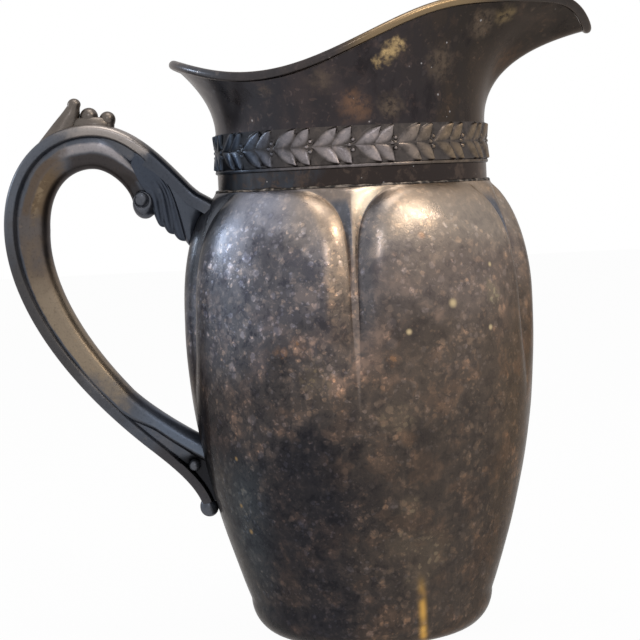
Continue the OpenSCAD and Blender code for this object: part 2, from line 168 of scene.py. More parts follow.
# %% [markdown]
# ## The raised body
# A smith raises this body from a sheet: a plain round base swells into arch-topped lobes, four broad ones
# and two narrow ones, with a three-cornered hollow between two arches that runs down into a narrow strip.
# Sculpting would be slow to repeat, so the radius is written as a function of the angle and the height: a
# smooth crest, less the hollow. A lobe's edge falls off with a power, so it meets the hollow in a sharp
# crease.

# %% Body radius
BODY_R, BELLY_Z = 64.4, 114.8
BASE_R, FOOT_ROUND = 44.7, 14.5
SEAM_Z, BODY_WALL = 164.6, 1.2
NECK_R, NECK_WALL = 49.4, 1.2
LEDGE_R = NECK_R - NECK_WALL - 1
GROOVES = (18, 90, 162)
GROOVE_DEPTH, GROOVE_ROUND = 3.8, 11.0
GROOVE_END_Z, GROOVE_FULL_Z = 84.0, 124.0
HOLLOW_W, HOLLOW_DROP = 15.0, 6.5
STRIP_HALF, STRIP_END = 1.1, 0.2
RIDGE = 0.9


def crest_radius(z):
    """Radius over the lobes. Below the belly it falls with a power of the depth under it, and above it
    follows a squashed ellipse in to the neck."""
    below = np.clip((BELLY_Z - z) / (BELLY_Z - FOOT_ROUND), 0, None)
    above = clamp((z - BELLY_Z) / (SEAM_Z + 0.6 - BELLY_Z))
    side = blend(BODY_R, BASE_R, below ** 1.9)
    shoulder = blend(NECK_R, BODY_R, (1 - above ** 2.5) ** (1 / 1.4))
    return np.where(z < BELLY_Z, side, shoulder)


def groove_share(z):
    """0 where the grooves end under the belly, rising to 1 where they are full."""
    return ease((z - GROOVE_END_Z) / (GROOVE_FULL_Z - GROOVE_END_Z))


def hollow_half(z):
    """Half width of the hollow between lobes: it falls from the seam to a strip, and then to a line."""
    drop = np.clip(SEAM_Z - z, 0, None)
    return HOLLOW_W * np.exp(-drop / HOLLOW_DROP) + STRIP_END + STRIP_HALF * groove_share(z)


def from_groove(angle, z):
    """Distance round the body from the middle of the nearest groove."""
    turn = np.abs((angle + 540) % 360 - 180)
    return crest_radius(z) * np.radians(np.min([np.abs(turn - g) for g in GROOVES], axis=0))


def groove(angle, z):
    """Depth under the crest: all of it in the hollow, less a low ridge along its middle, and less and
    less up the lobe's edge. It starts at the seam and fades out under the belly."""
    along = from_groove(angle, z)
    half = hollow_half(z)
    drop = np.clip(SEAM_Z - z, 0, None)
    rise = clamp((along - half) / GROOVE_ROUND)
    edge = (1 - rise) ** 2.4
    ridge = RIDGE * np.exp(-drop / 18) * clamp(1 - (along / half) ** 2) ** 1.5
    return GROOVE_DEPTH * (1 - np.exp(-drop / 3)) * groove_share(z) * (edge - ridge)


def dents(angle, z):
    """Slight unevenness of hammered sheet: three slow waves that close round the body."""
    a = np.radians(angle)
    return (0.16 * np.sin(3 * a + z / 21) * np.sin(z / 17 + 1.3) + 0.11 * np.sin(8 * a - z / 13)
            + 0.06 * np.sin(15 * a + z / 6.1) * np.sin(z / 9)) - 0.12


def lobed_radius(angle, z):
    """Crest radius less the groove."""
    return crest_radius(z) - groove(angle, z)


print("grooves at", GROOVES, "degrees on either side, up to", GROOVE_DEPTH, "mm deep")

# %% [markdown]
# An even grid would cut across the creases, and they would look like a saw. So the grid has a column of
# points on each crease, at every height. The mesh also keeps how far each place leans to the spout, for
# the finish.

# %% Body grid
def lean_to_spout(angle, z):
    """How far the wall leans to the spout: the radius's slope round the body, by its direction in X."""
    step = 0.1
    rise = lobed_radius(angle + step, z) - lobed_radius(angle - step, z)
    return np.clip(rise / (2 * np.radians(step) * crest_radius(z)) * np.sin(np.radians(angle)), -1, 1)


def across_lobe(start, width, z, steps):
    """Angles from one groove to the next, one row per height: six over the hollow at either end, and the
    rest over the lobe between its two creases, crowded towards them."""
    half = np.minimum(np.degrees(hollow_half(z) / crest_radius(z)), 0.46 * width)
    u = np.linspace(-1, 1, steps, endpoint=False)
    crowded = (1 + np.sign(u) * (1 - (1 - np.abs(u)) ** 1.8)) / 2
    share = np.arange(6) / 6
    lobe = half + (width - 2 * half) * crowded
    return start + np.concatenate([half * share, lobe, width - half * (1 - share)], axis=1)


def body_angles(z):
    """Angles all round the body at each height, as rows."""
    z = np.reshape(z, (-1, 1))
    lobes = [across_lobe(-18, 36, z, 36), across_lobe(18, 72, z, 68), across_lobe(90, 72, z, 68)]
    half_turn = np.concatenate(lobes, axis=1)
    return np.concatenate([half_turn, half_turn + 180], axis=1)


def body_side(inset, foot_steps, side_steps):
    """Rows from the foot's opening up the rounded foot and the side to the ledge, with an inset."""
    turn = np.radians(np.linspace(-90, 0, foot_steps, endpoint=False))[:, None]
    corner = FOOT_ROUND - inset
    foot = turned(body_angles(FOOT_ROUND), BASE_R - FOOT_ROUND + corner * np.cos(turn),
                  FOOT_ROUND + corner * np.sin(turn))
    v = np.linspace(0, 1, side_steps)[:, None]
    z = FOOT_ROUND + (SEAM_Z - inset - FOOT_ROUND) * (1 - (1 - v) ** 1.5)
    angle = body_angles(z)
    settle = ease((z - FOOT_ROUND) / 20) * ease((SEAM_Z - z) / 6)
    side = turned(angle, lobed_radius(angle, z) - inset + dents(angle, z) * settle, z)
    ledge = turned(body_angles(SEAM_Z), LEDGE_R, SEAM_Z - inset)
    return np.concatenate([foot, side, ledge])


body_points = np.concatenate([body_side(0, 18, 128), body_side(BODY_WALL, 8, 48)[::-1]])
x, y, z = np.moveaxis(body_points, -1, 0)
angle = np.degrees(np.arctan2(y, x))
hollow = ease((hollow_half(z) - from_groove(angle, z)) / 0.8 + 0.5) * ease((z - GROOVE_END_Z) / 20)
surface("lobed_body", "body_shell", "body_plate", body_points, lean=lean_to_spout(angle, z), hollow=hollow)

# %% [markdown]
# ## The neck and its pouring lip
# The neck is a second sheet: a straight collar that flares into a mouth, far out and high at the spout,
# with a lip that droops in its middle. Two numbers describe the mouth at each angle, its radius and its
# height. From the collar to the mouth runs a quadratic curve, upright at its start, so one formula gives
# the whole flare. A wire is rolled into the edge.

# %% Neck and rim
COLLAR_Z = SEAM_Z + 21.4
FILM = 0.15
SIDE_R, BACK_R, SPOUT_R = 54.4, 62.6, 86.5
WIRE_R = 1.7


def mouth(angle):
    """The mouth's radius, with two swells, its height, with waves and a dip, and its curve's turn."""
    a = np.radians(angle)
    spout = bump(angle, 28)
    radius = SIDE_R + (SPOUT_R - SIDE_R) * spout + (BACK_R - SIDE_R) * bump(180 - np.abs(angle), 50)
    height = (SEAM_Z + 49.9 + 11.8 * np.cos(a) + 4.2 * np.cos(2 * a) - 3.7 * np.cos(3 * a)
              - 9.7 * bump(angle, 9))
    turn = COLLAR_Z + (height - COLLAR_Z) * (0.5 + 0.24 * spout)
    return radius, height, turn


def flare(angle, s):
    """Radius, height and direction up the flare, for s from 0 at the collar to 1 at the mouth."""
    radius, height, turn = mouth(angle)
    r = blend(NECK_R, radius, s * s)
    z = (1 - s) ** 2 * COLLAR_Z + 2 * s * (1 - s) * turn + s * s * height
    way_r = s * (radius - NECK_R)
    way_z = (1 - s) * (turn - COLLAR_Z) + s * (height - turn)
    size = np.hypot(way_r, way_z)
    return r, z, way_r / size, way_z / size


def neck_side(inset, collar_steps, flare_steps):
    """Rows up the collar and the flare, set in square to the sheet."""
    up = np.linspace(SEAM_Z + FILM, COLLAR_Z, collar_steps, endpoint=False)[:, None]
    collar = turned(neck_angles, NECK_R - inset, up)
    r, z, way_r, way_z = flare(neck_angles, np.linspace(0, 1, flare_steps)[:, None])
    return np.concatenate([collar, turned(neck_angles, r - inset * way_z, z + inset * way_r)])


k = np.arange(-150, 150) / 150
neck_angles = 180 * np.sign(k) * np.abs(k) ** 1.5
neck_points = np.concatenate([neck_side(0, 12, 84), neck_side(NECK_WALL, 6, 60)[::-1]])
surface("flared_neck", "neck_spout", "neck_plate", neck_points)

r, z, way_r, way_z = flare(neck_angles, 1.0)
round_wire = full_turn(20)[:, None]
out = WIRE_R * np.cos(round_wire) - NECK_WALL / 2
up = WIRE_R * (1 + np.sin(round_wire)) + FILM
wire_points = turned(neck_angles, r + out * way_z + up * way_r, z - out * way_r + up * way_z)
surface("rim_edge", "rim_wire", "neck_plate", wire_points, rim=np.cos(round_wire) * 0.5 + 0.5)

# %% [markdown]
# ## The laurel band
# Round the collar runs a stamped strip: laurel leaves along a stem, two rows of them, that point to the
# spout on both sides, with three berries at every second leaf and a raised line below. Modelling each
# leaf as an object would take hundreds of pieces. Stamped metal is a height field, so each leaf is a
# formula for height over the strip, and the strip takes the highest leaf at each point. A hash of the
# leaf's number varies its lean and length.

# %% Laurel band
BAND_R = NECK_R + FILM
BAND_Z, BAND_H = SEAM_Z + 6.6, 14.6
STEM_Z = BAND_Z + 7.9
HALF_WAY = math.pi * BAND_R
LEAF_PITCH, FIRST_LEAF = 7.5, 4.8
LEAF_LONG, LEAF_SHORT, LEAF_WIDE = 12.2, 10.8, 5.6
BERRY_R = 0.8


def chance(number, seed):
    """A fixed number from 0 to 1 that looks random, from a leaf's number."""
    wild = np.sin(number * 12.9898 + seed * 78.233) * 43758.5453
    return wild - np.floor(wild)


def leaf_height(along, high, root, lean, length):
    """Height of one leaf: a lens along a leaning line that starts flat and bends up to the tip, domed
    across and higher towards the tip."""
    c, s = np.cos(lean), np.sin(lean)
    way = ((along - root) * c + high * s) / length
    inside = clamp(way)
    side = high * c - (along - root) * s + 1.1 * np.sin(np.pi * inside)
    half = LEAF_WIDE / 2 * np.sin(np.pi * inside ** 1.05)
    dome = np.clip(1 - (side / np.maximum(half, 0.01)) ** 2, 0, None)
    return np.where((way > 0) & (way < 1), dome * (0.45 + 0.75 * inside), 0)


def laurel_height(along, high):
    """The highest of the leaves, the stem and the berries, at a place along the band."""
    number = np.floor((along - FIRST_LEAF) / LEAF_PITCH)
    best = 0.35 * bump(high, 0.55)
    for row in (1, -1):
        for step in (-2, -1, 0):
            k = number + step
            odd = k % 2
            tilt = np.radians(35 + 6 * odd + 4 * (chance(k, row) - 0.5))
            length = blend(LEAF_LONG, LEAF_SHORT, odd) - 0.7 * chance(k, row + 5)
            root = FIRST_LEAF + (k - 0.12 * odd) * LEAF_PITCH
            best = np.maximum(best, leaf_height(along, row * high, root, tilt, length))
    from_node = (along - FIRST_LEAF + LEAF_PITCH) % (2 * LEAF_PITCH) - LEAF_PITCH
    for place, rise in ((-0.2, 1.9), (-1.5, 0.1), (-0.3, -1.7)):
        spot = BERRY_R ** 2 - (from_node - place) ** 2 - (high - rise) ** 2
        best = np.maximum(best, np.sqrt(np.clip(spot, 0, None)))
    return best


band_angles = np.linspace(-180, 180, 1240, endpoint=False)
band_z = np.linspace(BAND_Z, BAND_Z + BAND_H, 68)[:, None]
to_spout = HALF_WAY * (1 - np.abs(band_angles) / 180)
relief = laurel_height(to_spout + 0 * band_z, band_z - STEM_Z + 0 * to_spout)
relief = relief * ease((BAND_Z + BAND_H - band_z) / 0.6) * ease((band_z - BAND_Z - 1.3) / 0.6)
raised_line = 0.55 * np.sqrt(np.clip(1 - ((band_z - BAND_Z - 0.75) / 0.7) ** 2, 0, None))
relief = np.maximum(relief, raised_line)
front = turned(band_angles, BAND_R + 0.03 + relief, band_z)
rear = turned(band_angles, BAND_R, np.array([[BAND_Z + BAND_H], [BAND_Z]]))
height_over_strip = np.concatenate([relief, np.zeros((2, len(band_angles)))])
band_points = np.concatenate([front, rear])
surface("laurel_band_leaves", "laurel_band", "ornament", band_points, rise=height_over_strip)
print("highest leaf", round(float(relief.max()), 2), "mm")

# %% [markdown]
# ## The soldered seam
# Where the neck stands on the body the solder ran out in lumps. A plain ring would look turned on a
# lathe, so its section swells and shrinks with a sum of waves that don't repeat within the round.

# %% Neck solder
seam_angles = np.linspace(-180, 180, 480, endpoint=False)
a = np.radians(seam_angles)
waves = np.sin(17 * a + 1) * np.sin(5 * a) + np.sin(41 * a + 2 * np.sin(3 * a)) * np.sin(7 * a + 2)
lumps = 0.6 + 0.2 * waves
section = full_turn(14)[:, None]
seam_points = turned(seam_angles, NECK_R + 0.35 + lumps * np.cos(section),
                     SEAM_Z + FILM + 0.15 + lumps * np.sin(section))
surface("seam_solder", "neck_solder", "solder", seam_points)

# %% [markdown]
# ## The handle's rail
# The handle is cast: an outer rail that springs from the shoulder, goes over the crown and tapers to a
# tail. Its outer outline is four cubic curves end to end, and the roll's two ends are a cubic curve each.
# A ring is carried along such a curve, square to it. Each point keeps how far along the handle it lies
# and how far in, for the finish.

# %% Curves of the handle
FINGER_GAP, STRAND_GAP = 48.3, 0.25
ROLL_T, ROLL_W, THIN_T = 10.7, 13, 7
RAIL_T, RAIL_W = 5.6, 15
TAIL_T, TAIL_W = 5.2, 6
REACH = BODY_R + FINGER_GAP + ROLL_T + STRAND_GAP + RAIL_T
HEEL_Z, HEEL_T = 70.8, 8.2
TAIL_BEAD_R = 3.4
tail_bead_z = HEEL_Z - 22.6
tail_bead = np.array([crest_radius(tail_bead_z) + TAIL_BEAD_R + FILM, tail_bead_z])
seat = np.array([NECK_R + 5.3, SEAM_Z - 1.8])
crown = np.array([REACH - 33, SEAM_Z + 27.8])
reach = np.array([REACH, SEAM_Z - 10.8])
tail_top = np.array([crest_radius(HEEL_Z) + 19, HEEL_Z])
tail_end = tail_bead + (TAIL_BEAD_R + FILM) * np.array([0.82, 0.79])
crown_pull = np.array([17, 0])
reach_pull = np.array([0, 25])
outline = np.array([
    [seat, seat + [14, 15], crown - crown_pull, crown],
    [crown, crown + crown_pull, reach + reach_pull, reach],
    [reach, reach - reach_pull, tail_top + [32.6, 27.8], tail_top],
    [tail_top, tail_top - [8.3, 7.1], tail_end + [2.7, 6.5], tail_end]])


def on_curves(curves, s):
    """Place and direction on a chain of cubic curves: s counts curves, and its rest runs along one."""
    k = np.clip(np.floor(s).astype(int), 0, len(curves) - 1)
    t = (s - k)[..., None]
    p0, p1, p2, p3 = (curves[k, n] for n in range(4))
    place = (1 - t) ** 3 * p0 + 3 * t * (1 - t) ** 2 * p1 + 3 * t * t * (1 - t) * p2 + t ** 3 * p3
    way = (1 - t) ** 2 * (p1 - p0) + 2 * t * (1 - t) * (p2 - p1) + t * t * (p3 - p2)
    return place, way / np.linalg.norm(way, axis=-1, keepdims=True)


def out_from(curves, s, out):
    """Distance from the axis and height of places that lie out from the curves, on their left."""
    place, way = on_curves(curves, s)
    return place + np.asarray(out)[..., None] * np.stack([-way[..., 1], way[..., 0]], -1)


def rail_thick(s):
    """Thickness of the rail, tapering from the outer bend to the tail."""
    return blend(RAIL_T, TAIL_T, clamp((s - 2) / 2))


LEAVE_S, CURL_S = 2.84, 0.9
NOSE_R = 4.4
OVERLAP = 5.2
nose = np.array([NECK_R + 27.5, SEAM_Z - 2.6])
heel = np.array([crest_radius(HEEL_Z), HEEL_Z])
heel_lean = np.array([0.85, 0.5]) / math.hypot(0.85, 0.5)


def roll_thick(s):
    """Thickness of the roll, which thins towards the place where it leaves the rail."""
    return blend(ROLL_T, THIN_T, clamp((s - 2) / (LEAVE_S - 2)))


def roll_out(s):
    """How far the roll's middle lies inside the rail's outline."""
    return -(rail_thick(s) + STRAND_GAP + roll_thick(s) / 2)


curl_way = on_curves(outline, np.array(CURL_S))[1]
heel_way = on_curves(outline, np.array(LEAVE_S))[1]
curl_top = out_from(outline, np.array(CURL_S), roll_out(CURL_S))
heel_top = out_from(outline, np.array(LEAVE_S), roll_out(LEAVE_S))
curl = np.array([[nose, nose + [0, 8], curl_top - 8 * curl_way, curl_top]])
heel_curve = np.array([[heel_top, heel_top + 10 * heel_way, heel + 10 * heel_lean, heel]])
print("the handle reaches", round(REACH, 1), "mm from the axis")

# %% [markdown]
# Where a strand meets the body its last ring is pushed on until every point is in the wall. The body's
# lobes make that distance different at each point, and halving a step finds it without a formula.

# %% Ends on the body
def to_handle(flat, y):
    """Points in space from distance and height: the handle lies towards -X, and y is sideways."""
    return np.stack(np.broadcast_arrays(-flat[..., 0], y, flat[..., 1]), -1)


def seated(points, way):
    """Points moved along a way until they lie just inside the body's wall, found by halving the step."""
    near = np.zeros(points.shape[:-1])
    far = near + 14
    for _ in range(24):
        middle = (near + far) / 2
        x, y, z = np.moveaxis(points + middle[..., None] * way, -1, 0)
        wall = lobed_radius(np.degrees(np.arctan2(y, x)), np.minimum(z, SEAM_Z - 0.3))
        inside = np.hypot(x, y) < wall - 0.4
        far = np.where(inside, middle, far)
        near = np.where(inside, near, middle)
    return points + far[..., None] * way


def seat_rows(ring, shares, way):
    """A ring closed to its middle in a few rows that lie on the body."""
    middle = ring.mean(0)
    return seated(np.stack([middle + (ring - middle) * q for q in shares]), np.array(way))


def rounded(c, power):
    """A cosine or sine squared up, so that a ring becomes a rounded rectangle."""
    return np.sign(c) * np.abs(c) ** (2 / power)


def cast(name, node, points, **marks):
    """A piece of the handle's casting, shut at both ends."""
    surface(name, node, "handle_cast", points, ends="fans", **marks)


# %% [markdown]
# The rail's own ring is a rounded rectangle with a cove at its inner edge. Where the roll parts from it
# at the crown a web fills the corner, and where the roll leaves it below a thin fin goes on to the roll's
# middle or to the body. Below the heel the fin is drawn in to a thin sheet that stands in for the shadow
# between tail and body, and it is painted near black.

# %% Rail rings
ring = full_turn(64)[None, :]
CLOSING = (0.25, 0.6, 1)
WEB_H, WEB_S, WEB_HALF = 5.6, 0.66, 0.19
FIN_S = 2.8
heel_line = on_curves(heel_curve, np.linspace(1, 0, 40))[0]


def inner_limit(z):
    """How near to the axis the fin reaches: the heel's middle above its foot, and the body below."""
    on_heel = np.interp(z, heel_line[:, 1], heel_line[:, 0])
    return np.where(z > HEEL_Z, on_heel, crest_radius(z) - 0.4)


def rail_depth():
    """Share of the thickness at each point of the ring, 0 outside and 1 inside."""
    return (1 - rounded(np.cos(ring), 3.4)) / 2


def rail_ring(s):
    """Rings of the rail: a rounded rectangle with a cove at its inner edge and a fillet at the shoulder.
    It is drawn in to a web where the roll parts from it, and to a fin below the place where the roll
    leaves it. Below the heel the fin is a thin sheet that stands in for shadow."""
    s = np.atleast_1d(s)[:, None]
    taper = clamp((s - 2) / 2)
    wide = blend(RAIL_W, TAIL_W, taper ** 1.5) * (1 + 0.1 * clamp(1 - s / 0.16) ** 2)
    depth = rail_depth()
    cove = 0.7 * ease((depth - 0.6) / 0.3) * (1 - taper) * ease((s - 0.3) / 0.4)
    soft = blend(2.9, 3.4, ease((s - 0.2) / 0.5))
    y = wide / 2 * np.abs(rounded(np.sin(ring), soft))
    y = blend(y, wide / 2, ease((0.52 - s) / 0.12) * (depth > 0.5) * (depth < 0.97))
    y = np.maximum(y - cove * ease(y / 3), 0)
    web = bump(s - WEB_S, WEB_HALF)
    fin = ease((s - FIN_S) / 0.1)
    inmost = ease((depth - 0.87) / 0.11)
    y = blend(y, np.minimum(y, 5.6), ease((depth - 0.72) / 0.2) * web)
    # below the heel the fin thins to a sheet that stands in for the shadow between tail and body
    thin = ease((s - 3.15) / 0.35) * ease((depth - 0.68) / 0.2)
    y = np.sign(np.sin(ring)) * blend(y, np.minimum(y, 1.2), thin)
    fillet = 1.2 * clamp(1 - s / 0.14) ** 2 * (1 - depth) ** 2
    flat = out_from(outline, s + 0 * ring, fillet - rail_thick(s) * depth - WEB_H * web * inmost)
    limit = np.minimum(flat[..., 0], inner_limit(flat[..., 1]))
    flat[..., 0] = blend(flat[..., 0], limit, fin * inmost)
    return to_handle(flat, y)


rail_s = np.linspace(0.05, 4.08, 320)
rail_along = np.concatenate([np.full(len(CLOSING), 0.02), rail_s])[:, None]
rail_seat = seat_rows(rail_ring(0.03)[0], CLOSING, (0.87, 0, -0.49))
cast("handle_rail_cast", "handle_rail", np.concatenate([rail_seat, rail_ring(rail_s)]),
     along_handle=rail_along, towards_hand=rail_depth() - 1)

# %% [markdown]
# ## The handle's roll and its volute
# Inside the rail lies a round roll, the part that the hand closes on. Above, it curls down and winds
# round a raised eye, and below it leaves the rail and ends in a heel on the body. The strand is one run
# of rings along three curves, a little into the rail so that the two look like one casting. The curl's
# end is a thick disc drawn from the eye outwards: a dome for the eye, a groove round it, and a round coil
# from there to the outline, which is an oval set off from the eye, so the coil is thin above and thick
# below.

# %% Roll
def strand_rings(curves, s, out, thick, wide, overlap):
    """Rings square to the curves, slightly squared ovals, that reach further on the rail's side."""
    reach_out = np.where(np.cos(ring) > 0, overlap * np.cos(ring), 0)
    flat = out_from(curves, s + 0 * ring, out + thick / 2 * np.cos(ring) + reach_out)
    return to_handle(flat, wide / 2 * rounded(np.sin(ring), 2.5))


def curl_thick(t):
    """Thickness of the roll along its curl, from the nose up."""
    return blend(2 * NOSE_R, ROLL_T, ease(t))


curl_t = np.linspace(0, 1, 48, endpoint=False)[:, None]
roll_s = np.linspace(CURL_S, LEAVE_S, 180, endpoint=False)[:, None]
heel_t = np.linspace(0, 1, 24)[:, None]
curl_wide = (11 + 2 * curl_t) * (0.62 + 0.38 * ease(curl_t / 0.45))
heel_rows = strand_rings(heel_curve, heel_t, 0, blend(THIN_T, HEEL_T, heel_t), ROLL_W + heel_t,
                         OVERLAP * ease(1 - heel_t / 0.5))
roll_rows = np.concatenate([
    strand_rings(curl, curl_t, 0, curl_thick(curl_t), curl_wide, OVERLAP * ease((curl_t - 0.5) / 0.5)),
    strand_rings(outline, roll_s, roll_out(roll_s), roll_thick(roll_s), ROLL_W, OVERLAP),
    heel_rows[:-1], seat_rows(heel_rows[-3], CLOSING[::-1], (0.86, 0, -0.51))])
roll_along = np.concatenate([CURL_S - 0.7 * (1 - curl_t) ** 2.2, roll_s, LEAVE_S + 0.3 * heel_t[:-1],
                             np.full((len(CLOSING), 1), LEAVE_S + 0.3)])
roll_in = (1 - np.cos(ring) * np.where(np.cos(ring) > 0, 1 + 2 * OVERLAP / ROLL_T, 1)) / 2
cast("handle_roll_cast", "handle_roll", roll_rows, along_handle=roll_along,
     towards_hand=roll_in + 0.35 * ease((CURL_S - roll_along) / 0.25))

# %% Volute
VOLUTE = np.array([4.55, 5.4])
EYE_OFF = np.array([0.8, 1.7])
EYE_R = 2.5
turn = full_turn(140)[None, :]
share = np.linspace(0.03, 1, 56)[:, None]
spoke = np.stack([np.cos(turn), np.sin(turn)], -1)
aim_way = spoke / VOLUTE
middle_way = EYE_OFF / VOLUTE
a = (aim_way ** 2).sum(-1)
b = (aim_way * middle_way).sum(-1)
to_edge = (np.sqrt(b * b + a * (1 - (middle_way ** 2).sum())) - b) / a
radius = share * to_edge
groove_r = EYE_R + 0.25 - 0.5 * ((np.degrees(turn) - 36) % 360) / 360
coil = clamp((radius - groove_r) / np.maximum(to_edge - groove_r, 0.3))
dome = 5.2 + 0.6 * np.sqrt(clamp(1 - (radius / groove_r) ** 2))
rim = 5.7 - 0.5 * clamp(1 - coil / 0.35) ** 2
face = np.where(radius < groove_r, dome, rim * (1 - coil ** 2.4) ** 0.5)
face = face - bump(radius - groove_r, 0.8) * (0.3 + 0.25 * np.cos(turn - np.radians(225)))
face = face * (1 - share ** 14) ** 0.5 + 0.25
near = to_handle(nose + EYE_OFF + radius[..., None] * spoke, -face)
cast("handle_volute", "handle_roll", np.concatenate([near, (near * [1, -1, 1])[::-1]]))

# %% [markdown]
# ## The fan under the rail
# Between rail, curl and body sits a fan of flutes that spread from the place where rail and roll part,
# and a plain web beside the body. It could be modelled flute by flute. As a patch it takes one formula:
# one side follows the curl, the other the rail, and each row runs from where they meet out to a scalloped
# edge, with a bow that follows the volute. Further out the half width swells and dips with the square of
# a sine, which makes round ribs.

# %% Fan
FLUTES, FAN_SHARE = 3.5, 0.64
APEX_T, APEX_S = 0.56, 0.58
SINK = 0.7
fan_ring = full_turn(96)[None, :]
q = (1 + np.cos(fan_ring)) / 2
flute_rows = np.linspace(0, FAN_SHARE, 96, endpoint=False)
fan_u = np.concatenate([flute_rows, np.linspace(FAN_SHARE, 1, 16)])[:, None]
fan_low = nose - [NOSE_R - 0.4, 6.1]
web_z = SEAM_Z - 18.4
web_foot = np.array([crest_radius(web_z) - SINK, web_z])


def along_curl(q):
    """Places down the curl's side from the parting place, and on to the first scallop."""
    t = APEX_T * clamp(1 - q / 0.75)
    side = out_from(curl, t, curl_thick(t) / 2 - blend(1.4, 3.5, ease(t / 0.3)))
    return blend(side, fan_low, clamp((q - 0.75) / 0.25)[..., None])


def far_edge(u):
    """The scalloped edge, a quadratic curve with bulges, and then the web's edge up the body."""
    t = clamp(u / FAN_SHARE)[..., None]
    edge = (1 - t) ** 2 * fan_low + 2 * t * (1 - t) * (fan_low - [4.4, 4.9]) + t * t * web_foot
    edge = edge + 0.8 * np.abs(np.sin(np.pi * FLUTES * t)) * np.array([0.29, -0.96])
    z = blend(web_z, SEAM_Z - 4.5, clamp((u - FAN_SHARE) / (1 - FAN_SHARE)))
    on_body = np.stack([crest_radius(z) - SINK, z], -1)
    return np.where(u[..., None] < FAN_SHARE, edge, on_body)


curl_side = along_curl(q)
rail_side = out_from(outline, blend(APEX_S, 0.02, q), np.full(q.shape, 2.6 - RAIL_T))
rest = blend(curl_side, rail_side, fan_u[..., None])
last = blend(along_curl(np.ones((1, 1))), rail_side[:, :1], fan_u[..., None])
bow = 3.2 * np.sin(np.pi * q) * np.sin(np.pi * fan_u)
flat = rest + q[..., None] ** 3 * (far_edge(fan_u) - last) + bow[..., None] * np.array([-0.85, 0.5])
swell = np.where(fan_u < FAN_SHARE, np.sin(np.pi * FLUTES * fan_u / FAN_SHARE) ** 2, 1)
dip = (1 - swell) * ease((q - 0.25) / 0.4) * (0.8 + 0.2 * clamp(fan_u / FAN_SHARE))
wide = 5.6 + 1.86 * blend(fan_u ** 0.5, ease((fan_u - 0.4) / 0.4), ease((q - 0.2) / 0.4)) - 0.65 * dip
square = blend(blend(8, 3, ease((q - 0.5) / 0.3)), 10, ease((fan_u - 0.55) / 0.15))
cast("handle_fan", "handle_bracket", to_handle(flat, wide * rounded(np.sin(fan_ring), square)),
     flute=dip, fan=1.0, web=ease((fan_u - 0.5) / 0.2))

# %% [markdown]
# ## The thumb rest and the beads
# On the crown a spur leans back for the thumb, with a knob for a tip, and beside it two beads on a low
# shelf. More beads join the handle's lower ends to the body. A ball alone looks stuck on, so each bead is
# a profile turned about its own axis: a ball that spreads into a foot. The spur's rings go straight from
# a long oval on the rail to a ring round the knob.

# %% Spur
KNOB_R = 2.55
KNOB = np.array([-101.3, 0, 199.6])
SPUR_S, SPUR_HALF, SPUR_WIDE, SPUR_SUNK = 1.2675, 0.1925, 4.4, 0.3


def rail_drop(y):
    """How far the rail's rounded top has fallen at a distance from its middle."""
    return RAIL_T / 2 * (1 - (1 - np.abs(2 * y / RAIL_W) ** 3) ** (1 / 3))


def on_rail(s_middle, s_half, y_half, sunk):
    """A ring on the rail's top: an oval about a place along it, sunk a little."""
    y = -y_half * np.sin(ring)
    return to_handle(out_from(outline, s_middle + s_half * np.cos(ring), -sunk - rail_drop(y)), y)


foot = on_rail(SPUR_S, SPUR_HALF, SPUR_WIDE, SPUR_SUNK)[0]
rise = np.linspace(0, 1, 30)[1:, None, None]
knob_ring = np.stack([-np.cos(ring), -np.sin(ring), 0 * ring], -1)[0] * KNOB_R
neck_in = 1 - 0.07 * bump(rise - 0.86, 0.16)
stem = blend(foot, KNOB + knob_ring, rise)
stem_axis = stem.mean(1, keepdims=True)
stem = stem_axis + (stem - stem_axis) * neck_in
lift = np.radians(np.linspace(10, 84, 10))[:, None, None]
knob = KNOB + knob_ring * np.cos(lift) + np.array([0, 0, KNOB_R]) * np.sin(lift)
inside = np.concatenate([on_rail(SPUR_S, q * SPUR_HALF, q * SPUR_WIDE, SPUR_SUNK) for q in (0.3, 0.65)])
cast("thumb_spur_cast", "thumb_spur", np.concatenate([inside, foot[None], stem, knob]), thumb=1.0)

# %% Shelf and beads
SHELF_S, SHELF_HALF, SHELF_WIDE, SHELF_SUNK = 0.975, 0.165, 4.3, 0.4
shelf_rings = np.concatenate([
    on_rail(SHELF_S, SHELF_HALF * q, SHELF_WIDE * q, SHELF_SUNK) for q in (0.3, 0.7, 1)] + [
    on_rail(SHELF_S, SHELF_HALF * (1 - 0.12 * q ** 2), SHELF_WIDE * (1 - 0.35 * q ** 2),
            SHELF_SUNK - 3.0 * q) for q in (0.25, 0.5, 0.75, 0.9, 1)] + [
    on_rail(SHELF_S, SHELF_HALF * 0.5, 1.8, -2.7)])
cast("thumb_shelf", "thumb_beads", shelf_rings, thumb=1.0)


def bead_rings(middle, radius, axis, foot):
    """Rings of a ball about its axis. Its lower half spreads into a foot, a share of the ball's width."""
    axis = np.array(axis) / np.linalg.norm(axis)
    side = np.cross(axis, [0, 0, 1] if abs(axis[1]) > 0.7 else [0, 1, 0])
    side = side / np.linalg.norm(side)
    other = np.cross(axis, side)
    lift = np.radians(np.linspace(-66, 87, 44))[:, None, None]
    height = np.where(lift < 0, np.sin(lift) * 1.2, np.sin(lift))
    spread = np.where(lift < 0, np.maximum(np.cos(lift), foot), np.cos(lift))
    circle = np.cos(ring)[..., None] * side + np.sin(ring)[..., None] * other
    return np.array(middle) + radius * (spread * circle + height * axis)


for name, middle, radius in (("thumb_bead_front", [-96.0, 0, 195.1], 3.4),
                             ("thumb_bead_rear", [-89.2, 0, 193.8], 3.0)):
    cast(name, "thumb_beads", bead_rings(middle, radius, [0.1, 0, 1], 0.9), thumb=1.0)

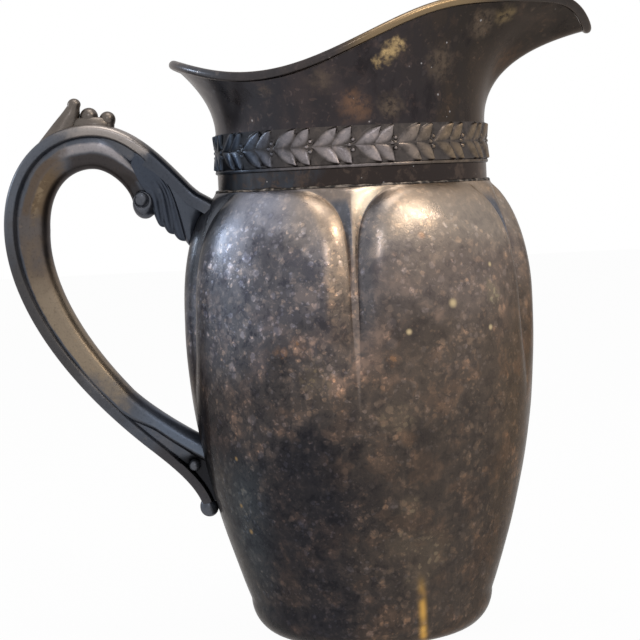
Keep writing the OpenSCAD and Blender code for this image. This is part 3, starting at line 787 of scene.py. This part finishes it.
HEEL_BEAD_R = 2.2
heel_bead_z = HEEL_Z - HEEL_T / 2 - HEEL_BEAD_R + FILM
heel_bead_d = float(crest_radius(heel_bead_z)) + HEEL_BEAD_R + 1.9
for name, side in (("heel_bead_near", -1), ("heel_bead_far", 1)):
    middle = [-heel_bead_d, side * 3.6, heel_bead_z]
    cast(name, "heel_bead", bead_rings(middle, HEEL_BEAD_R, [0.3, side, -0.2], 0.7))

middle = [-float(tail_bead[0]), 0, tail_bead_z]
cast("tail_bead_cast", "tail_bead", bead_rings(middle, TAIL_BEAD_R, [0.3, 0, -0.95], 0.0))

# %% [markdown]
# ## Finishes: what tarnish looks like
# Old silver plate is dark where it has tarnished, grey or tan where it is thinner, and copper or brass
# where it is worn through. All of it is still metal, so every finish uses a metallic shader and says what
# it is through colour and roughness. A few small helpers keep the node code short. They add to the tree
# of the finish at hand.

# %% Node helpers
def feed(item, inputs):
    """Links each of a node's inputs that is given a socket, and sets each that is given a value."""
    for key, value in dict(inputs).items():
        if isinstance(value, bpy.types.NodeSocket):
            tree.links.new(value, item.inputs[key])
        else:
            item.inputs[key].default_value = value


def add(kind, inputs=(), **settings):
    """A new shader node in the tree at hand, with its settings and inputs."""
    item = tree.nodes.new("ShaderNode" + kind)
    for key, value in settings.items():
        setattr(item, key, value)
    feed(item, inputs)
    return item


def math_of(operation, first, second=0.0):
    """One sum of two values."""
    return add("Math", {0: first, 1: second}, operation=operation).outputs[0]


def vector_of(operation, first, second):
    """One sum of two vectors."""
    return add("VectorMath", {0: first, 1: second}, operation=operation).outputs[0]


def times(first, *others):
    """The product of shares."""
    for other in others:
        first = math_of("MULTIPLY", first, other)
    return first


def fade(value, low, high):
    """0 below low, 1 above high, smooth between. It falls instead where low is above high."""
    inputs = {"Value": value, "From Min": low, "From Max": high}
    return add("MapRange", inputs, interpolation_type="SMOOTHSTEP").outputs["Result"]


def between(value, start, full, fall, end):
    """0 below start, 1 from full to fall, and 0 again above end."""
    return times(fade(value, start, full), fade(value, end, fall))


def spread(value, low, high, first, last):
    """A value from low to high moved to the range from first to last."""
    inputs = {"Value": value, "From Min": low, "From Max": high, "To Min": first, "To Max": last}
    return add("MapRange", inputs).outputs["Result"]


# %% [markdown]
# A finish is then a list of layers. Each is a paint, in red, green and blue, and the shares whose product
# says where it lies. Other layers make what lies below them lighter or darker, so that a stain keeps the
# colour of its place.

# %% Layers of paint
GOLD = (0.60, 0.42, 0.20)
COPPER = (0.33, 0.17, 0.085)
TAN = (0.20, 0.145, 0.10)


def over(share, below, above):
    """One paint laid over another, by share. Paints are sockets, or red, green and blue."""
    below, above = (p if isinstance(p, bpy.types.NodeSocket) else (*p, 1.0) for p in (below, above))
    return add("Mix", {0: share, 6: below, 7: above}, data_type="RGBA").outputs[2]


def layered(tint, *layers):
    """Paints laid over a tint one after another, each by the product of its shares."""
    for paint, *shares in layers:
        tint = over(times(*shares), tint, paint)
    return tint


def lit(tint, factors):
    """A tint made lighter or darker by a factor for each of red, green and blue."""
    return vector_of("MULTIPLY", tint, factors)


def shade(tint, factors, *shares):
    """A tint made lighter or darker where its shares say so."""
    return layered(tint, (lit(tint, factors), *shares))


# %% [markdown]
# Patterns come from noise and cell textures in millimetres on Object coordinates, so they stay on the
# metal from every side. A painted image would need unwrapping and would stretch over the lobes. Round
# cells look printed, so places are first pushed about by noise.

# %% Patterns
def in_mm(stretch=(1, 1, 1)):
    """Object coordinates in millimetres, divided by a stretch along each axis."""
    places = add("TexCoord").outputs["Object"]
    return add("Mapping", {"Vector": places, "Scale": tuple(1000 / n for n in stretch)}).outputs["Vector"]


def axes_of(places):
    """The three coordinates of places."""
    return add("SeparateXYZ", {"Vector": places}).outputs


def pushed(places, size, reach):
    """Places pushed about by noise of a size, by up to about a reach, both in millimetres."""
    noise = add("TexNoise", {"Vector": places, "Scale": 1 / size, "Detail": 2.0}).outputs["Color"]
    centred = vector_of("SUBTRACT", noise, (0.5, 0.5, 0.5))
    push = add("VectorMath", {0: centred, "Scale": 4 * reach}, operation="SCALE").outputs[0]
    return vector_of("ADD", places, push)


def grain(places, size, detail=4.0, rough=0.55):
    """Soft noise of a size in millimetres, from 0 to 1."""
    inputs = {"Vector": places, "Scale": 1 / size, "Detail": detail, "Roughness": rough}
    return add("TexNoise", inputs).outputs[0]


def blots(places, size, big, few):
    """Scattered blots, as a share and one random value each. A blot fills up to a share big of its cell,
    and only cells whose other random value is above few have one."""
    item = add("TexVoronoi", {"Vector": places, "Scale": 1 / size})
    own = add("SeparateColor", {"Color": item.outputs["Color"]})
    reach = spread(own.outputs[1], 0.0, 1.0, 0.4 * big, big)
    inside = fade(math_of("DIVIDE", item.outputs["Distance"], reach), 1.0, 0.6)
    return times(inside, fade(own.outputs[0], few, few + 0.08)), own.outputs[2]


def spot(places, middle, radius, core=0.15):
    """1 at a place in millimetres and in a core round it, falling to 0 at a radius from it."""
    gap = add("VectorMath", {0: places, 1: middle}, operation="DISTANCE").outputs["Value"]
    return fade(gap, radius, core * radius)


def mark_of(name):
    """A number that the mesh keeps at its points, or 0 on a mesh without it."""
    return add("Attribute", attribute_name=name).outputs["Fac"]


# %% Metal finish
def new_finish(name, edge, metallic, gloss):
    """A material with one metal shader under a thin gloss, and its tree. The edge colour is what it shows
    at a glancing angle."""
    finish = bpy.data.materials.new(name)
    finish.use_nodes = True
    feed(finish.node_tree.nodes["Principled BSDF"], {
        "Metallic": metallic, "Specular Tint": (*edge, 1.0), "Coat Weight": gloss, "Coat Roughness": 0.13})
    return finish, finish.node_tree


def finished(finish, slot, tint, rough, height, depth_mm):
    """Feeds the shader its colour, its roughness and a height from 0 to 1 as relief of a depth, and gives
    the finish to all the pieces of a slot."""
    relief = add("Bump", {"Height": height, "Distance": depth_mm * MM, "Strength": 1.0}).outputs[0]
    feed(tree.nodes["Principled BSDF"], {"Base Color": tint, "Roughness": rough, "Normal": relief})
    for piece in pieces[slot]:
        piece.data.materials.append(finish)
    print(f"{finish.name}: {len(tree.nodes)} nodes on {len(pieces[slot])} pieces")


# %% [markdown]
# ## The body's mottled plate
# The upper panels are a smooth grey, cool towards the handle and warm towards the spout, and they darken
# through a freckled belt to charcoal: partly tarnish, and partly a painted reflection of a room that is
# bright above, dark below, cool on the handle's side and warm on the spout's. Edges that lean to the spout
# take a painted warm reflection, and edges that lean away a painted slate one, which the mesh keeps as its
# lean. Slate patches have crisp borders, freckles come in four sizes and gather in clouds, and a short list
# of places says where copper or gold shows through; some of these are painted glints.

# %% Body colours
body_finish, tree = new_finish("mottled_plate", (0.40, 0.36, 0.33), 0.85, 0.12)
places = in_mm()
x, y, z = axes_of(places)
wander = spread(grain(places, 24), 0.2, 0.8, -22, 22)
wavy_z = math_of("ADD", z, wander)
# partly tarnish, partly painted reflection: cool towards the handle, warm towards the spout, lighter up the
# panels and charcoal towards the foot
warm_side = fade(math_of("ADD", x, wander), -34, 30)
tint = over(warm_side, (0.017, 0.0165, 0.0205), (0.061, 0.048, 0.040))
for cool, warm, low, high in (
        ((0.046, 0.041, 0.042), (0.095, 0.073, 0.059), 66, 96),
        ((0.092, 0.090, 0.103), (0.170, 0.134, 0.116), 100, 128),
        ((0.300, 0.305, 0.360), (0.290, 0.240, 0.200), 130, 158)):
    tint = over(fade(wavy_z, low, high), tint, over(warm_side, cool, warm))
lean = mark_of("lean")
high_up = fade(z, 92, 140)
# the warm light painted on edges that lean to the spout, paler higher up
warm_edge = over(fade(z, 110, 150), (0.16, 0.115, 0.085), (0.46, 0.345, 0.25))
hollow = times(mark_of("hollow"), fade(x, -34, -24))
tongue = times(hollow, fade(z, 138, 150), 0.9)
tint = layered(
    tint,
    # painted reflections and highlights: a cool sheen beside the handle, a tan edge in front and a brown
    # limb; and a blue foot
    ((0.125, 0.14, 0.175), fade(x, -26, -48), fade(z, 90, 120), 0.6),
    ((0.30, 0.235, 0.175), between(x, -30, -16, -2, 6), fade(z, 136, 156), 0.6),
    ((0.092, 0.064, 0.042), fade(x, 38, 62), fade(z, 150, 110), 0.7),
    ((0.040, 0.050, 0.060), fade(x, -30, -44), fade(z, 80, 55), 0.75),
    # painted reflections: a slate shade on edges that lean away from the spout, and a warm light on edges
    # that lean to it
    ((0.095, 0.100, 0.117), fade(lean, -0.12, -0.5), high_up, 0.6),
    (warm_edge, fade(lean, 0.03, 0.24), high_up, fade(x, -40, -28), 0.75),
    # the strip and the tongue of the hollows, and the tongue's two sides: painted shade on the side that
    # leans away from the spout, and painted light on the side that leans to it
    ((0.22, 0.175, 0.152), hollow, fade(z, 148, 138), 0.8),
    ((0.22, 0.180, 0.155), tongue),
    ((0.105, 0.113, 0.135), tongue, fade(lean, -0.02, -0.16), fade(z, 162.5, 158)),
    ((0.40, 0.305, 0.23), tongue, fade(lean, 0.02, 0.16)),
    # a painted highlight in the front hollow, and a painted warm highlight along the top towards the spout
    ((1.0, 0.83, 0.63), hollow, spot(places, (5.5, -53, 161), 10), fade(lean, -0.02, 0.06)),
    ((0.33, 0.25, 0.185), fade(z, 156, 162), fade(x, 6, 16), 0.7))
print("body colours:", len(tree.nodes), "nodes")

# %% Body patches and freckles
torn = pushed(places, 5.0, 2.2)
broken = pushed(places, 1.4, 0.45)
ragged = pushed(torn, 2.0, 0.9)
patch = grain(torn, 9, 4.0, 0.6)
mottle = grain(torn, 6.0, 6.0, 0.68)
strong = times(spread(x, -12, 16, 1.0, 0.55), spread(z, 140, 160, 1.0, 0.45))
tint = shade(tint, (1.9, 1.72, 1.55), fade(mottle, 0.50, 0.64), strong, 0.7)
tint = shade(tint, (0.48, 0.50, 0.58), fade(mottle, 0.49, 0.37), strong, 0.8)
slate = times(fade(patch, 0.52, 0.56), fade(wavy_z, 150, 134), fade(z, 92, 112), fade(x, -6, -16), 0.6)
for place, radius in (((-25.5, -55, 147), 3.4), ((-20, -57.7, 141.5), 4.4), ((-15, -60, 137), 4.4)):
    slate = math_of("MAXIMUM", slate, spot(ragged, place, radius, 0.55))
tint = layered(tint, ((0.080, 0.078, 0.095), slate, 0.62))
tint = shade(tint, (1.35, 1.12, 0.98), fade(grain(torn, 12, 3.0), 0.50, 0.62), fade(z, 134, 104), 0.4)
gather = fade(grain(places, 15, 3.0), 0.30, 0.56)
heights = grain(places, 0.6, 2.0)
for size, big, few, strength in ((6.2, 0.42, 0.40, 0.55), (3.5, 0.46, 0.20, 0.7), (2.0, 0.46, 0.20, 0.7),
                                 (1.1, 0.42, 0.40, 0.4)):
    dot, own = blots(broken, size, big, few)
    dot = times(dot, gather, strong, strength)
    light = over(fade(own, 0.3, 0.7), lit(tint, (2.5, 2.15, 1.8)), lit(tint, (2.1, 2.1, 2.2)))
    tint = over(dot, tint, light)
    heights = math_of("ADD", heights, dot)
flock = times(fade(grain(places, 17, 3.0), 0.52, 0.60), fade(z, 140, 112))
streak = fade(grain(in_mm((1, 1, 18)), 1.3, 3.0), 0.5, 0.75)
tint = shade(tint, (2.2, 1.98, 1.75), blots(broken, 3.6, 0.62, 0.10)[0], flock, 0.7)
tint = shade(tint, (0.5, 0.5, 0.55), blots(broken, 2.6, 0.42, 0.45)[0], gather, strong, 0.6)
tint = shade(tint, (1.7, 1.6, 1.5), streak, fade(z, 110, 70), 0.4)
print("with patches and freckles:", len(tree.nodes), "nodes")

# %% Worn spots and painted glints on the body
WIDE_SPOT = 2.5
near_spot = pushed(places, 2.2, 0.9)
crumbs = math_of("MAXIMUM", blots(near_spot, 2.8, 0.66, 0.05)[0], 0.25)
# the first two lists, gold and orange, are worn brass painted bright as glints, so they are partly painted
# highlights; copper and tan spots are wear
for metal, strength, marks in (
        ((0.62, 0.48, 0.28), 0.9, ((33.6, -54.8, 123.1, 2.2), (18, -61.8, 114.3, 1.5),
                                   (47.4, -41.8, 135.4, 1.2), (46.7, -44.3, 113.5, 1.4))),
        ((0.30, 0.20, 0.09), 0.8, ((-45.1, -40, 70.7, 1.2), (-44.6, -34.9, 53.2, 1.2),
                                   (-41.5, -34.8, 43.7, 1.4))),
        ((0.40, 0.33, 0.21), 0.8, ((48.3, -42.3, 124.9, 5), (46.8, -43, 128.5, 3))),
        (COPPER, 0.55, ((12.1, -63, 105.4, 3.4), (-20.2, -61.1, 111.5, 4.5), (-26, -57.5, 109, 3.5),
                        (15.9, -59.3, 77.6, 4), (24, -56, 147, 2))),
        ((0.20, 0.15, 0.10), 0.8, ((15.5, -54.4, 53, 6), (22.2, -47, 36.1, 11), (12, -60, 84, 9),
                                   (12, -50, 40, 8), (-14, -61, 100, 9), (18, -46, 27, 7)))):
    for *place, radius in marks:
        if radius > WIDE_SPOT:
            tint = layered(tint, (metal, spot(near_spot, place, radius), crumbs, strength))
        else:
            tint = layered(tint, (metal, spot(places, place, radius), strength))
slant = math_of("SUBTRACT", x, times(z, 0.64))
glow = fade(math_of("ABSOLUTE", math_of("SUBTRACT", x, 18.3)), 3.0, 0.0)
at_foot = times(fade(z, 30, 12), fade(y, -20, -30))
tint = layered(
    tint,
    # painted shade in the corner beside the handle, and a painted gold reflection at the foot
    ((0.064, 0.072, 0.085), fade(slant, -141, -147), fade(z, 122, 136), 0.8),
    ((0.66, 0.37, 0.09), glow, glow, at_foot, fade(grain(places, 7.0, 1.0), 0.20, 0.62)))
finished(body_finish, "body_plate", tint, spread(patch, 0.3, 0.7, 0.26, 0.40), heights, 0.05)

# %% [markdown]
# ## The neck's dark plate
# The neck is smoother and darker, a brown black with clouds that run up it, tan stains and a few white
# specks, cool towards the handle and warm towards the spout, partly as a painted reflection. Some places
# are rubbed to gold and painted bright as highlights: one under the mouth, and a line along the rolled
# edge; a warm band under the spout is a painted reflection. The strip between band and seam is darkest,
# with a painted cool reflection towards the handle.

# %% Neck finish
neck_finish, tree = new_finish("dark_plate", (0.60, 0.54, 0.50), 0.88, 0.10)
places = in_mm()
x, y, z = axes_of(places)
cloud = grain(in_mm((1, 1, 1.8)), 13, 5.0, 0.62)
stained = pushed(places, 4.0, 1.8)
mottle = grain(stained, 5.0, 5.0, 0.66)
side = math_of("ADD", x, spread(cloud, 0.2, 0.8, -20, 20))
# partly the plate's tone, partly painted reflection: cool towards the handle, warm towards the spout
tint = over(fade(side, -40, 0), (0.033, 0.033, 0.040), (0.036, 0.030, 0.032))
tint = layered(tint, ((0.029, 0.0225, 0.0185), fade(side, 12, 50)))
tint = shade(tint, (1.6, 1.5, 1.42), fade(cloud, 0.50, 0.64), 0.7)
tint = shade(tint, (0.5, 0.48, 0.5), fade(cloud, 0.48, 0.34), 0.8)
# a painted cool reflection along the neck's edge towards the handle
tint = layered(tint, ((0.07, 0.085, 0.11), fade(x, -38, -51), 0.7))
tint = shade(tint, (1.7, 1.5, 1.35), fade(mottle, 0.54, 0.66), 0.6)
for size, few, strength in ((4.6, 0.55, 0.45), (2.2, 0.5, 0.5)):
    stain, own = blots(stained, size, 0.42, few)
    pale = over(own, lit(tint, (2.4, 2.0, 1.6)), lit(tint, (1.9, 1.9, 1.9)))
    tint = layered(tint, (pale, stain, strength))
# the collar strip, darkest, with a painted cool reflection towards the handle
collar = over(fade(side, -38, -14), (0.046, 0.057, 0.074), (0.032, 0.024, 0.022))
collar = layered(collar, ((0.085, 0.060, 0.048), fade(mottle, 0.5, 0.66), 0.7))
tint = over(fade(z, 173, 171.5), tint, collar)
near_spot = pushed(places, 3.0, 1.5)
crumbs = fade(grain(places, 2.2, 3.0, 0.7), 0.26, 0.62)
# the three gold spots under the mouth are a worn patch painted bright as a highlight, and the spots past x
# = 50 under the spout are a painted warm reflection; the others are stains and wear
for metal, strength, *place, radius in (
        (GOLD, 0.9, 15.6, -50.1, 210.2, 4.4), (GOLD, 0.8, 19, -49.6, 213, 3.6),
        (GOLD, 0.7, 11.5, -50.6, 207, 3), (TAN, 0.6, -26.9, -43, 202.5, 6.5),
        (TAN, 0.5, 15.4, -47.1, 191.9, 6.5), (COPPER, 0.35, 3, -49.4, 193, 8),
        (TAN, 0.5, 50, -33, 219, 8), (GOLD, 0.2, 58, -28, 222, 6), (TAN, 0.4, 34, -40, 206, 9),
        (TAN, 0.4, -8, -49.5, 203, 7), (COPPER, 0.35, 62, -12, 203, 12)):
    tint = layered(tint, (metal, spot(near_spot, place, radius), crumbs, strength))
on_rim = mark_of("rim")
tint = layered(
    tint,
    # white specks, and a painted highlight along the rolled edge, golden towards the spout
    ((0.36, 0.34, 0.34), blots(places, 4.6, 0.12, 0.45)[0], 0.8),
    ((0.085, 0.075, 0.070), on_rim, 0.35),
    ((0.36, 0.25, 0.13), on_rim, between(x, -4, 12, 40, 60), 0.6))
scratch = grain(in_mm((1, 1, 9)), 0.5, 2.0)
finished(neck_finish, "neck_plate", tint, spread(cloud, 0.3, 0.7, 0.24, 0.38), scratch, 0.02)

# %% [markdown]
# ## The band's rubbed leaves
# Fingers and cloths rub the tops of the leaves, while the hollows stay dark; the change from dark to pale
# with height also paints the shade between the leaves and the light on their tops. The mesh carries each
# point's height over the strip as an attribute, and the finish goes from dark to pale with it, blue towards
# the handle and brown towards the spout, partly a painted reflection of the cool and the warm side.

# %% Band finish
band_finish, tree = new_finish("rubbed_and_lit_leaves", (0.45, 0.43, 0.42), 0.88, 0.10)
places = in_mm()
x, y, z = axes_of(places)
mottle = grain(pushed(places, 3.0, 1.0), 3.4, 5.0, 0.65)
# pale tops, rubbed and also painted light, over a ground in painted shade, cool towards the handle and warm
# towards the spout
rubbed_and_lit = over(fade(x, -38, -8), (0.046, 0.062, 0.092), (0.275, 0.243, 0.246))
rubbed_and_lit = layered(rubbed_and_lit, ((0.190, 0.140, 0.095), fade(x, 4, 36)))
ground = over(fade(x, -42, -10), (0.024, 0.029, 0.038), (0.072, 0.061, 0.057))
tint = over(fade(mark_of("rise"), 0.20, 0.95), ground, rubbed_and_lit)
tint = shade(tint, (0.5, 0.5, 0.5), fade(mottle, 0.50, 0.62), 0.6)
tint = shade(tint, (1.7, 1.6, 1.5), fade(mottle, 0.46, 0.36), 0.5)
finished(band_finish, "ornament", tint, spread(mottle, 0.3, 0.7, 0.28, 0.42), grain(places, 0.6, 2.0), 0.03)

# %% [markdown]
# ## The handle's casting
# The casting is slate where no hand comes: in the fan, at the volute and at the tail. The hand has rubbed
# the crown pale, on the rail and along the top of the roll, and the roll tan further down; these pale
# places are also painted highlights, and the roll's side towards the body and the corner beside the tail
# are painted shade. The marks say how far along the handle a point lies, from 0 at the shoulder to 4 at
# the tail, and how far in, from -1 on the rail's outside to 1 on the roll's inside, and noise breaks the
# borders up.

# %% Handle finish
handle_finish, tree = new_finish("worn_casting_and_painted_light", (0.42, 0.40, 0.40), 0.85, 0.10)
places = in_mm()
cloud = grain(places, 9)
fine = grain(places, 0.9, 3.0)
along = mark_of("along_handle")
across = mark_of("towards_hand")
s = math_of("ADD", along, spread(cloud, 0.2, 0.8, -0.16, 0.16))
a = math_of("ADD", across, spread(cloud, 0.2, 0.8, -0.05, 0.05))
on_outside = fade(a, -0.14, -0.28)
on_roll = fade(a, 0.0, 0.06)
light_line = between(a, 0.04, 0.14, 0.30, 0.48)
over_crown = between(s, 0.50, 0.60, 1.15, 1.40)
in_bend = between(s, 1.15, 1.40, 1.85, 2.10)
down_run = between(s, 1.85, 2.25, 2.66, 2.90)
rubs = fade(grain(pushed(places, 3.0, 1.5), 5.0, 3.0), 0.44, 0.62)
run_tint = over(fade(s, 2.05, 2.55), (0.120, 0.086, 0.060), (0.275, 0.215, 0.152))
fan_tint = over(mark_of("web"), (0.052, 0.062, 0.084), (0.070, 0.080, 0.101))
thumb_tint = over(cloud, (0.105, 0.090, 0.080), (0.165, 0.142, 0.125))
tint = layered(
    over(fade(cloud, 0.35, 0.65), (0.078, 0.087, 0.107), (0.105, 0.108, 0.122)),
    # slate at the shoulder, and a brown black at the tail
    ((0.060, 0.067, 0.084), fade(along, 0.01, 0.05), fade(s, 0.55, 0.45)),
    ((0.056, 0.053, 0.058), fade(along, 2.9, 3.15), on_outside),
    # the rail: its crown, the rubbed top of it, the bend and the run down, partly wear and partly painted
    # light, the pale top a painted highlight
    ((0.130, 0.128, 0.138), over_crown, on_outside, 0.9),
    ((0.33, 0.295, 0.275), over_crown, fade(s, 1.28, 1.02), on_outside, 0.95),
    ((0.105, 0.115, 0.138), in_bend, on_outside, 0.8),
    ((0.060, 0.055, 0.053), down_run, on_outside, 0.8),
    # the roll: a painted line of light over a side in painted shade on the crown, then tan and gold in the
    # bend and tan down the run, partly wear and partly painted light
    ((0.27, 0.25, 0.255), over_crown, light_line, 0.9),
    ((0.046, 0.038, 0.036), over_crown, fade(a, 0.36, 0.52), 0.9),
    ((0.108, 0.078, 0.056), in_bend, light_line, 0.9),
    ((0.135, 0.090, 0.050), in_bend, fade(s, 1.25, 1.5), fade(a, 0.32, 0.46), 0.9),
    ((0.27, 0.200, 0.125), in_bend, fade(s, 1.40, 1.58), between(a, 0.34, 0.50, 0.56, 0.76), rubs, 0.6),
    (run_tint, down_run, on_roll, 0.9),
    # painted shade on the side towards the body, the heel, and a painted shadow, near black, in the corner
    # beside the tail's fin
    ((0.032, 0.027, 0.026), fade(a, 0.70, 0.92), fade(s, 2.3, 2.0), 0.8),
    ((0.120, 0.145, 0.190), on_roll, fade(along, 2.84, 3.0), 0.85),
    ((0.008, 0.008, 0.010), fade(along, 3.25, 3.4), between(across, -0.30, -0.18, 0.01, 0.04), 0.9),
    (fan_tint, mark_of("fan")),
    (thumb_tint, mark_of("thumb")))
dot, own = blots(pushed(places, 1.5, 0.6), 2.6, 0.4, 0.4)
tint = layered(tint, (over(own, lit(tint, (1.8, 1.6, 1.4)), lit(tint, (0.5, 0.5, 0.5))), dot, 0.35))
tint = shade(tint, (0.55, 0.55, 0.58), fade(fine, 0.52, 0.75), 0.5)
tint = layered(
    tint,
    # the grooves of the fan, and a painted dark reflection on the shoulder's upper edge
    ((0.036, 0.040, 0.050), mark_of("flute"), 0.3),
    ((0.022, 0.023, 0.026), fade(along, 0.62, 0.50), fade(across, -0.90, -0.97), 0.9))
finished(handle_finish, "handle_cast", tint, spread(cloud, 0.3, 0.7, 0.30, 0.44), fine, 0.03)

# %% [markdown]
# ## Solder and the underside
# Solder is duller and lighter than the plate. The pressed base plate and the solder inside the foot keep
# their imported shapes, which are right as they are, and only take a finish.

# %% Solder finish
solder_finish, tree = new_finish("dull_solder", (0.4, 0.4, 0.4), 0.8, 0.0)
mottle = grain(in_mm(), 2.4)
tint = over(fade(mottle, 0.42, 0.66), (0.040, 0.036, 0.034), (0.24, 0.20, 0.17))
finished(solder_finish, "solder", tint, 0.42, mottle, 0.2)
for name, finish in (("base_plate", body_finish), ("base_solder", solder_finish)):
    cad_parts[name].material_slots[0].material = finish

# %% [markdown]
# ## Floor, background and light
# The pitcher stands on a plain white floor in front of white. Rays from the camera and reflections see
# both as plain white, and the floor mixes that with a matt white that takes the shadow. Metal shows where
# its lamps stand as small bright spots, so each lamp stands where a mirror would send such a spot to the
# camera: a warm one high on the spout's side, a cool window behind the handle, a small lamp in front, and
# a soft one overhead.

# %% Floor and background
WHITE = (1.0, 1.0, 1.0, 1.0)
FLOOR_HALF = 4


def seen_or_mirrored():
    """1 for rays from the camera, and for those that metal or glass sends on."""
    path = add("LightPath").outputs
    seen = math_of("MAXIMUM", path["Is Camera Ray"], path["Is Glossy Ray"])
    return math_of("MAXIMUM", seen, path["Is Transmission Ray"])


floor_mesh = bpy.data.meshes.new("floor")
corners = [(FLOOR_HALF * i, FLOOR_HALF * j, 0) for i, j in ((-1, -1), (1, -1), (1, 1), (-1, 1))]
floor_mesh.from_pydata(corners, [], [(0, 1, 2, 3)])
floor = bpy.data.objects.new("floor", floor_mesh)
scene.collection.objects.link(floor)
floor_finish = bpy.data.materials.new("white_floor")
floor_finish.use_nodes = True
tree = floor_finish.node_tree
tree.nodes.clear()
matt = add("BsdfDiffuse", {"Color": (0.9, 0.9, 0.9, 1.0)}).outputs[0]
white = add("Emission", {"Color": WHITE, "Strength": 1.0}).outputs[0]
shown = add("MixShader", {0: 0.97, 1: matt, 2: white}).outputs[0]
both = add("MixShader", {0: seen_or_mirrored(), 1: matt, 2: shown}).outputs[0]
add("OutputMaterial", {"Surface": both})
floor_mesh.materials.append(floor_finish)

world = bpy.data.worlds.new("white_room")
world.use_nodes = True
scene.world = world
tree = world.node_tree
tree.nodes.clear()
fill = add("Background", {"Color": WHITE, "Strength": 0.35}).outputs[0]
white = add("Background", {"Color": WHITE, "Strength": 1.0}).outputs[0]
both = add("MixShader", {0: seen_or_mirrored(), 1: fill, 2: white}).outputs[0]
add("OutputWorld", {"Surface": both})
print("white floor", 2 * FLOOR_HALF, "m wide")

# %% Lamps
def softbox(name, place, target, size, watts, tone):
    """A rectangular lamp at a place, turned to a target, all in metres."""
    lamp = bpy.data.lights.new(name, "AREA")
    lamp.shape = "RECTANGLE"
    lamp.size, lamp.size_y = size
    lamp.energy = watts
    lamp.color = tone
    box = bpy.data.objects.new(name, lamp)
    box.location = place
    box.rotation_euler = (Vector(target) - Vector(place)).to_track_quat("-Z", "Y").to_euler()
    scene.collection.objects.link(box)
    print(name, watts, "W")


softbox("lamp_right", (0.70, -0.56, 0.99), (0, 0, 0.13), (0.2, 0.2), 3.6, (1.0, 0.88, 0.72))
softbox("window_left", (-1.0, 0.32, 0.50), (0, 0, 0.13), (0.18, 0.24), 2.2, (0.78, 0.89, 1.0))
softbox("lamp_front", (0.0, -1.2, 0.76), (0, 0, 0.13), (0.08, 0.08), 1.0, (0.92, 0.93, 1.0))
softbox("overhead", (0.1, -0.1, 1.2), (0, 0, 0.1), (0.5, 0.5), 4.0, (1.0, 0.95, 0.89))

scene.view_settings.view_transform = "Standard"
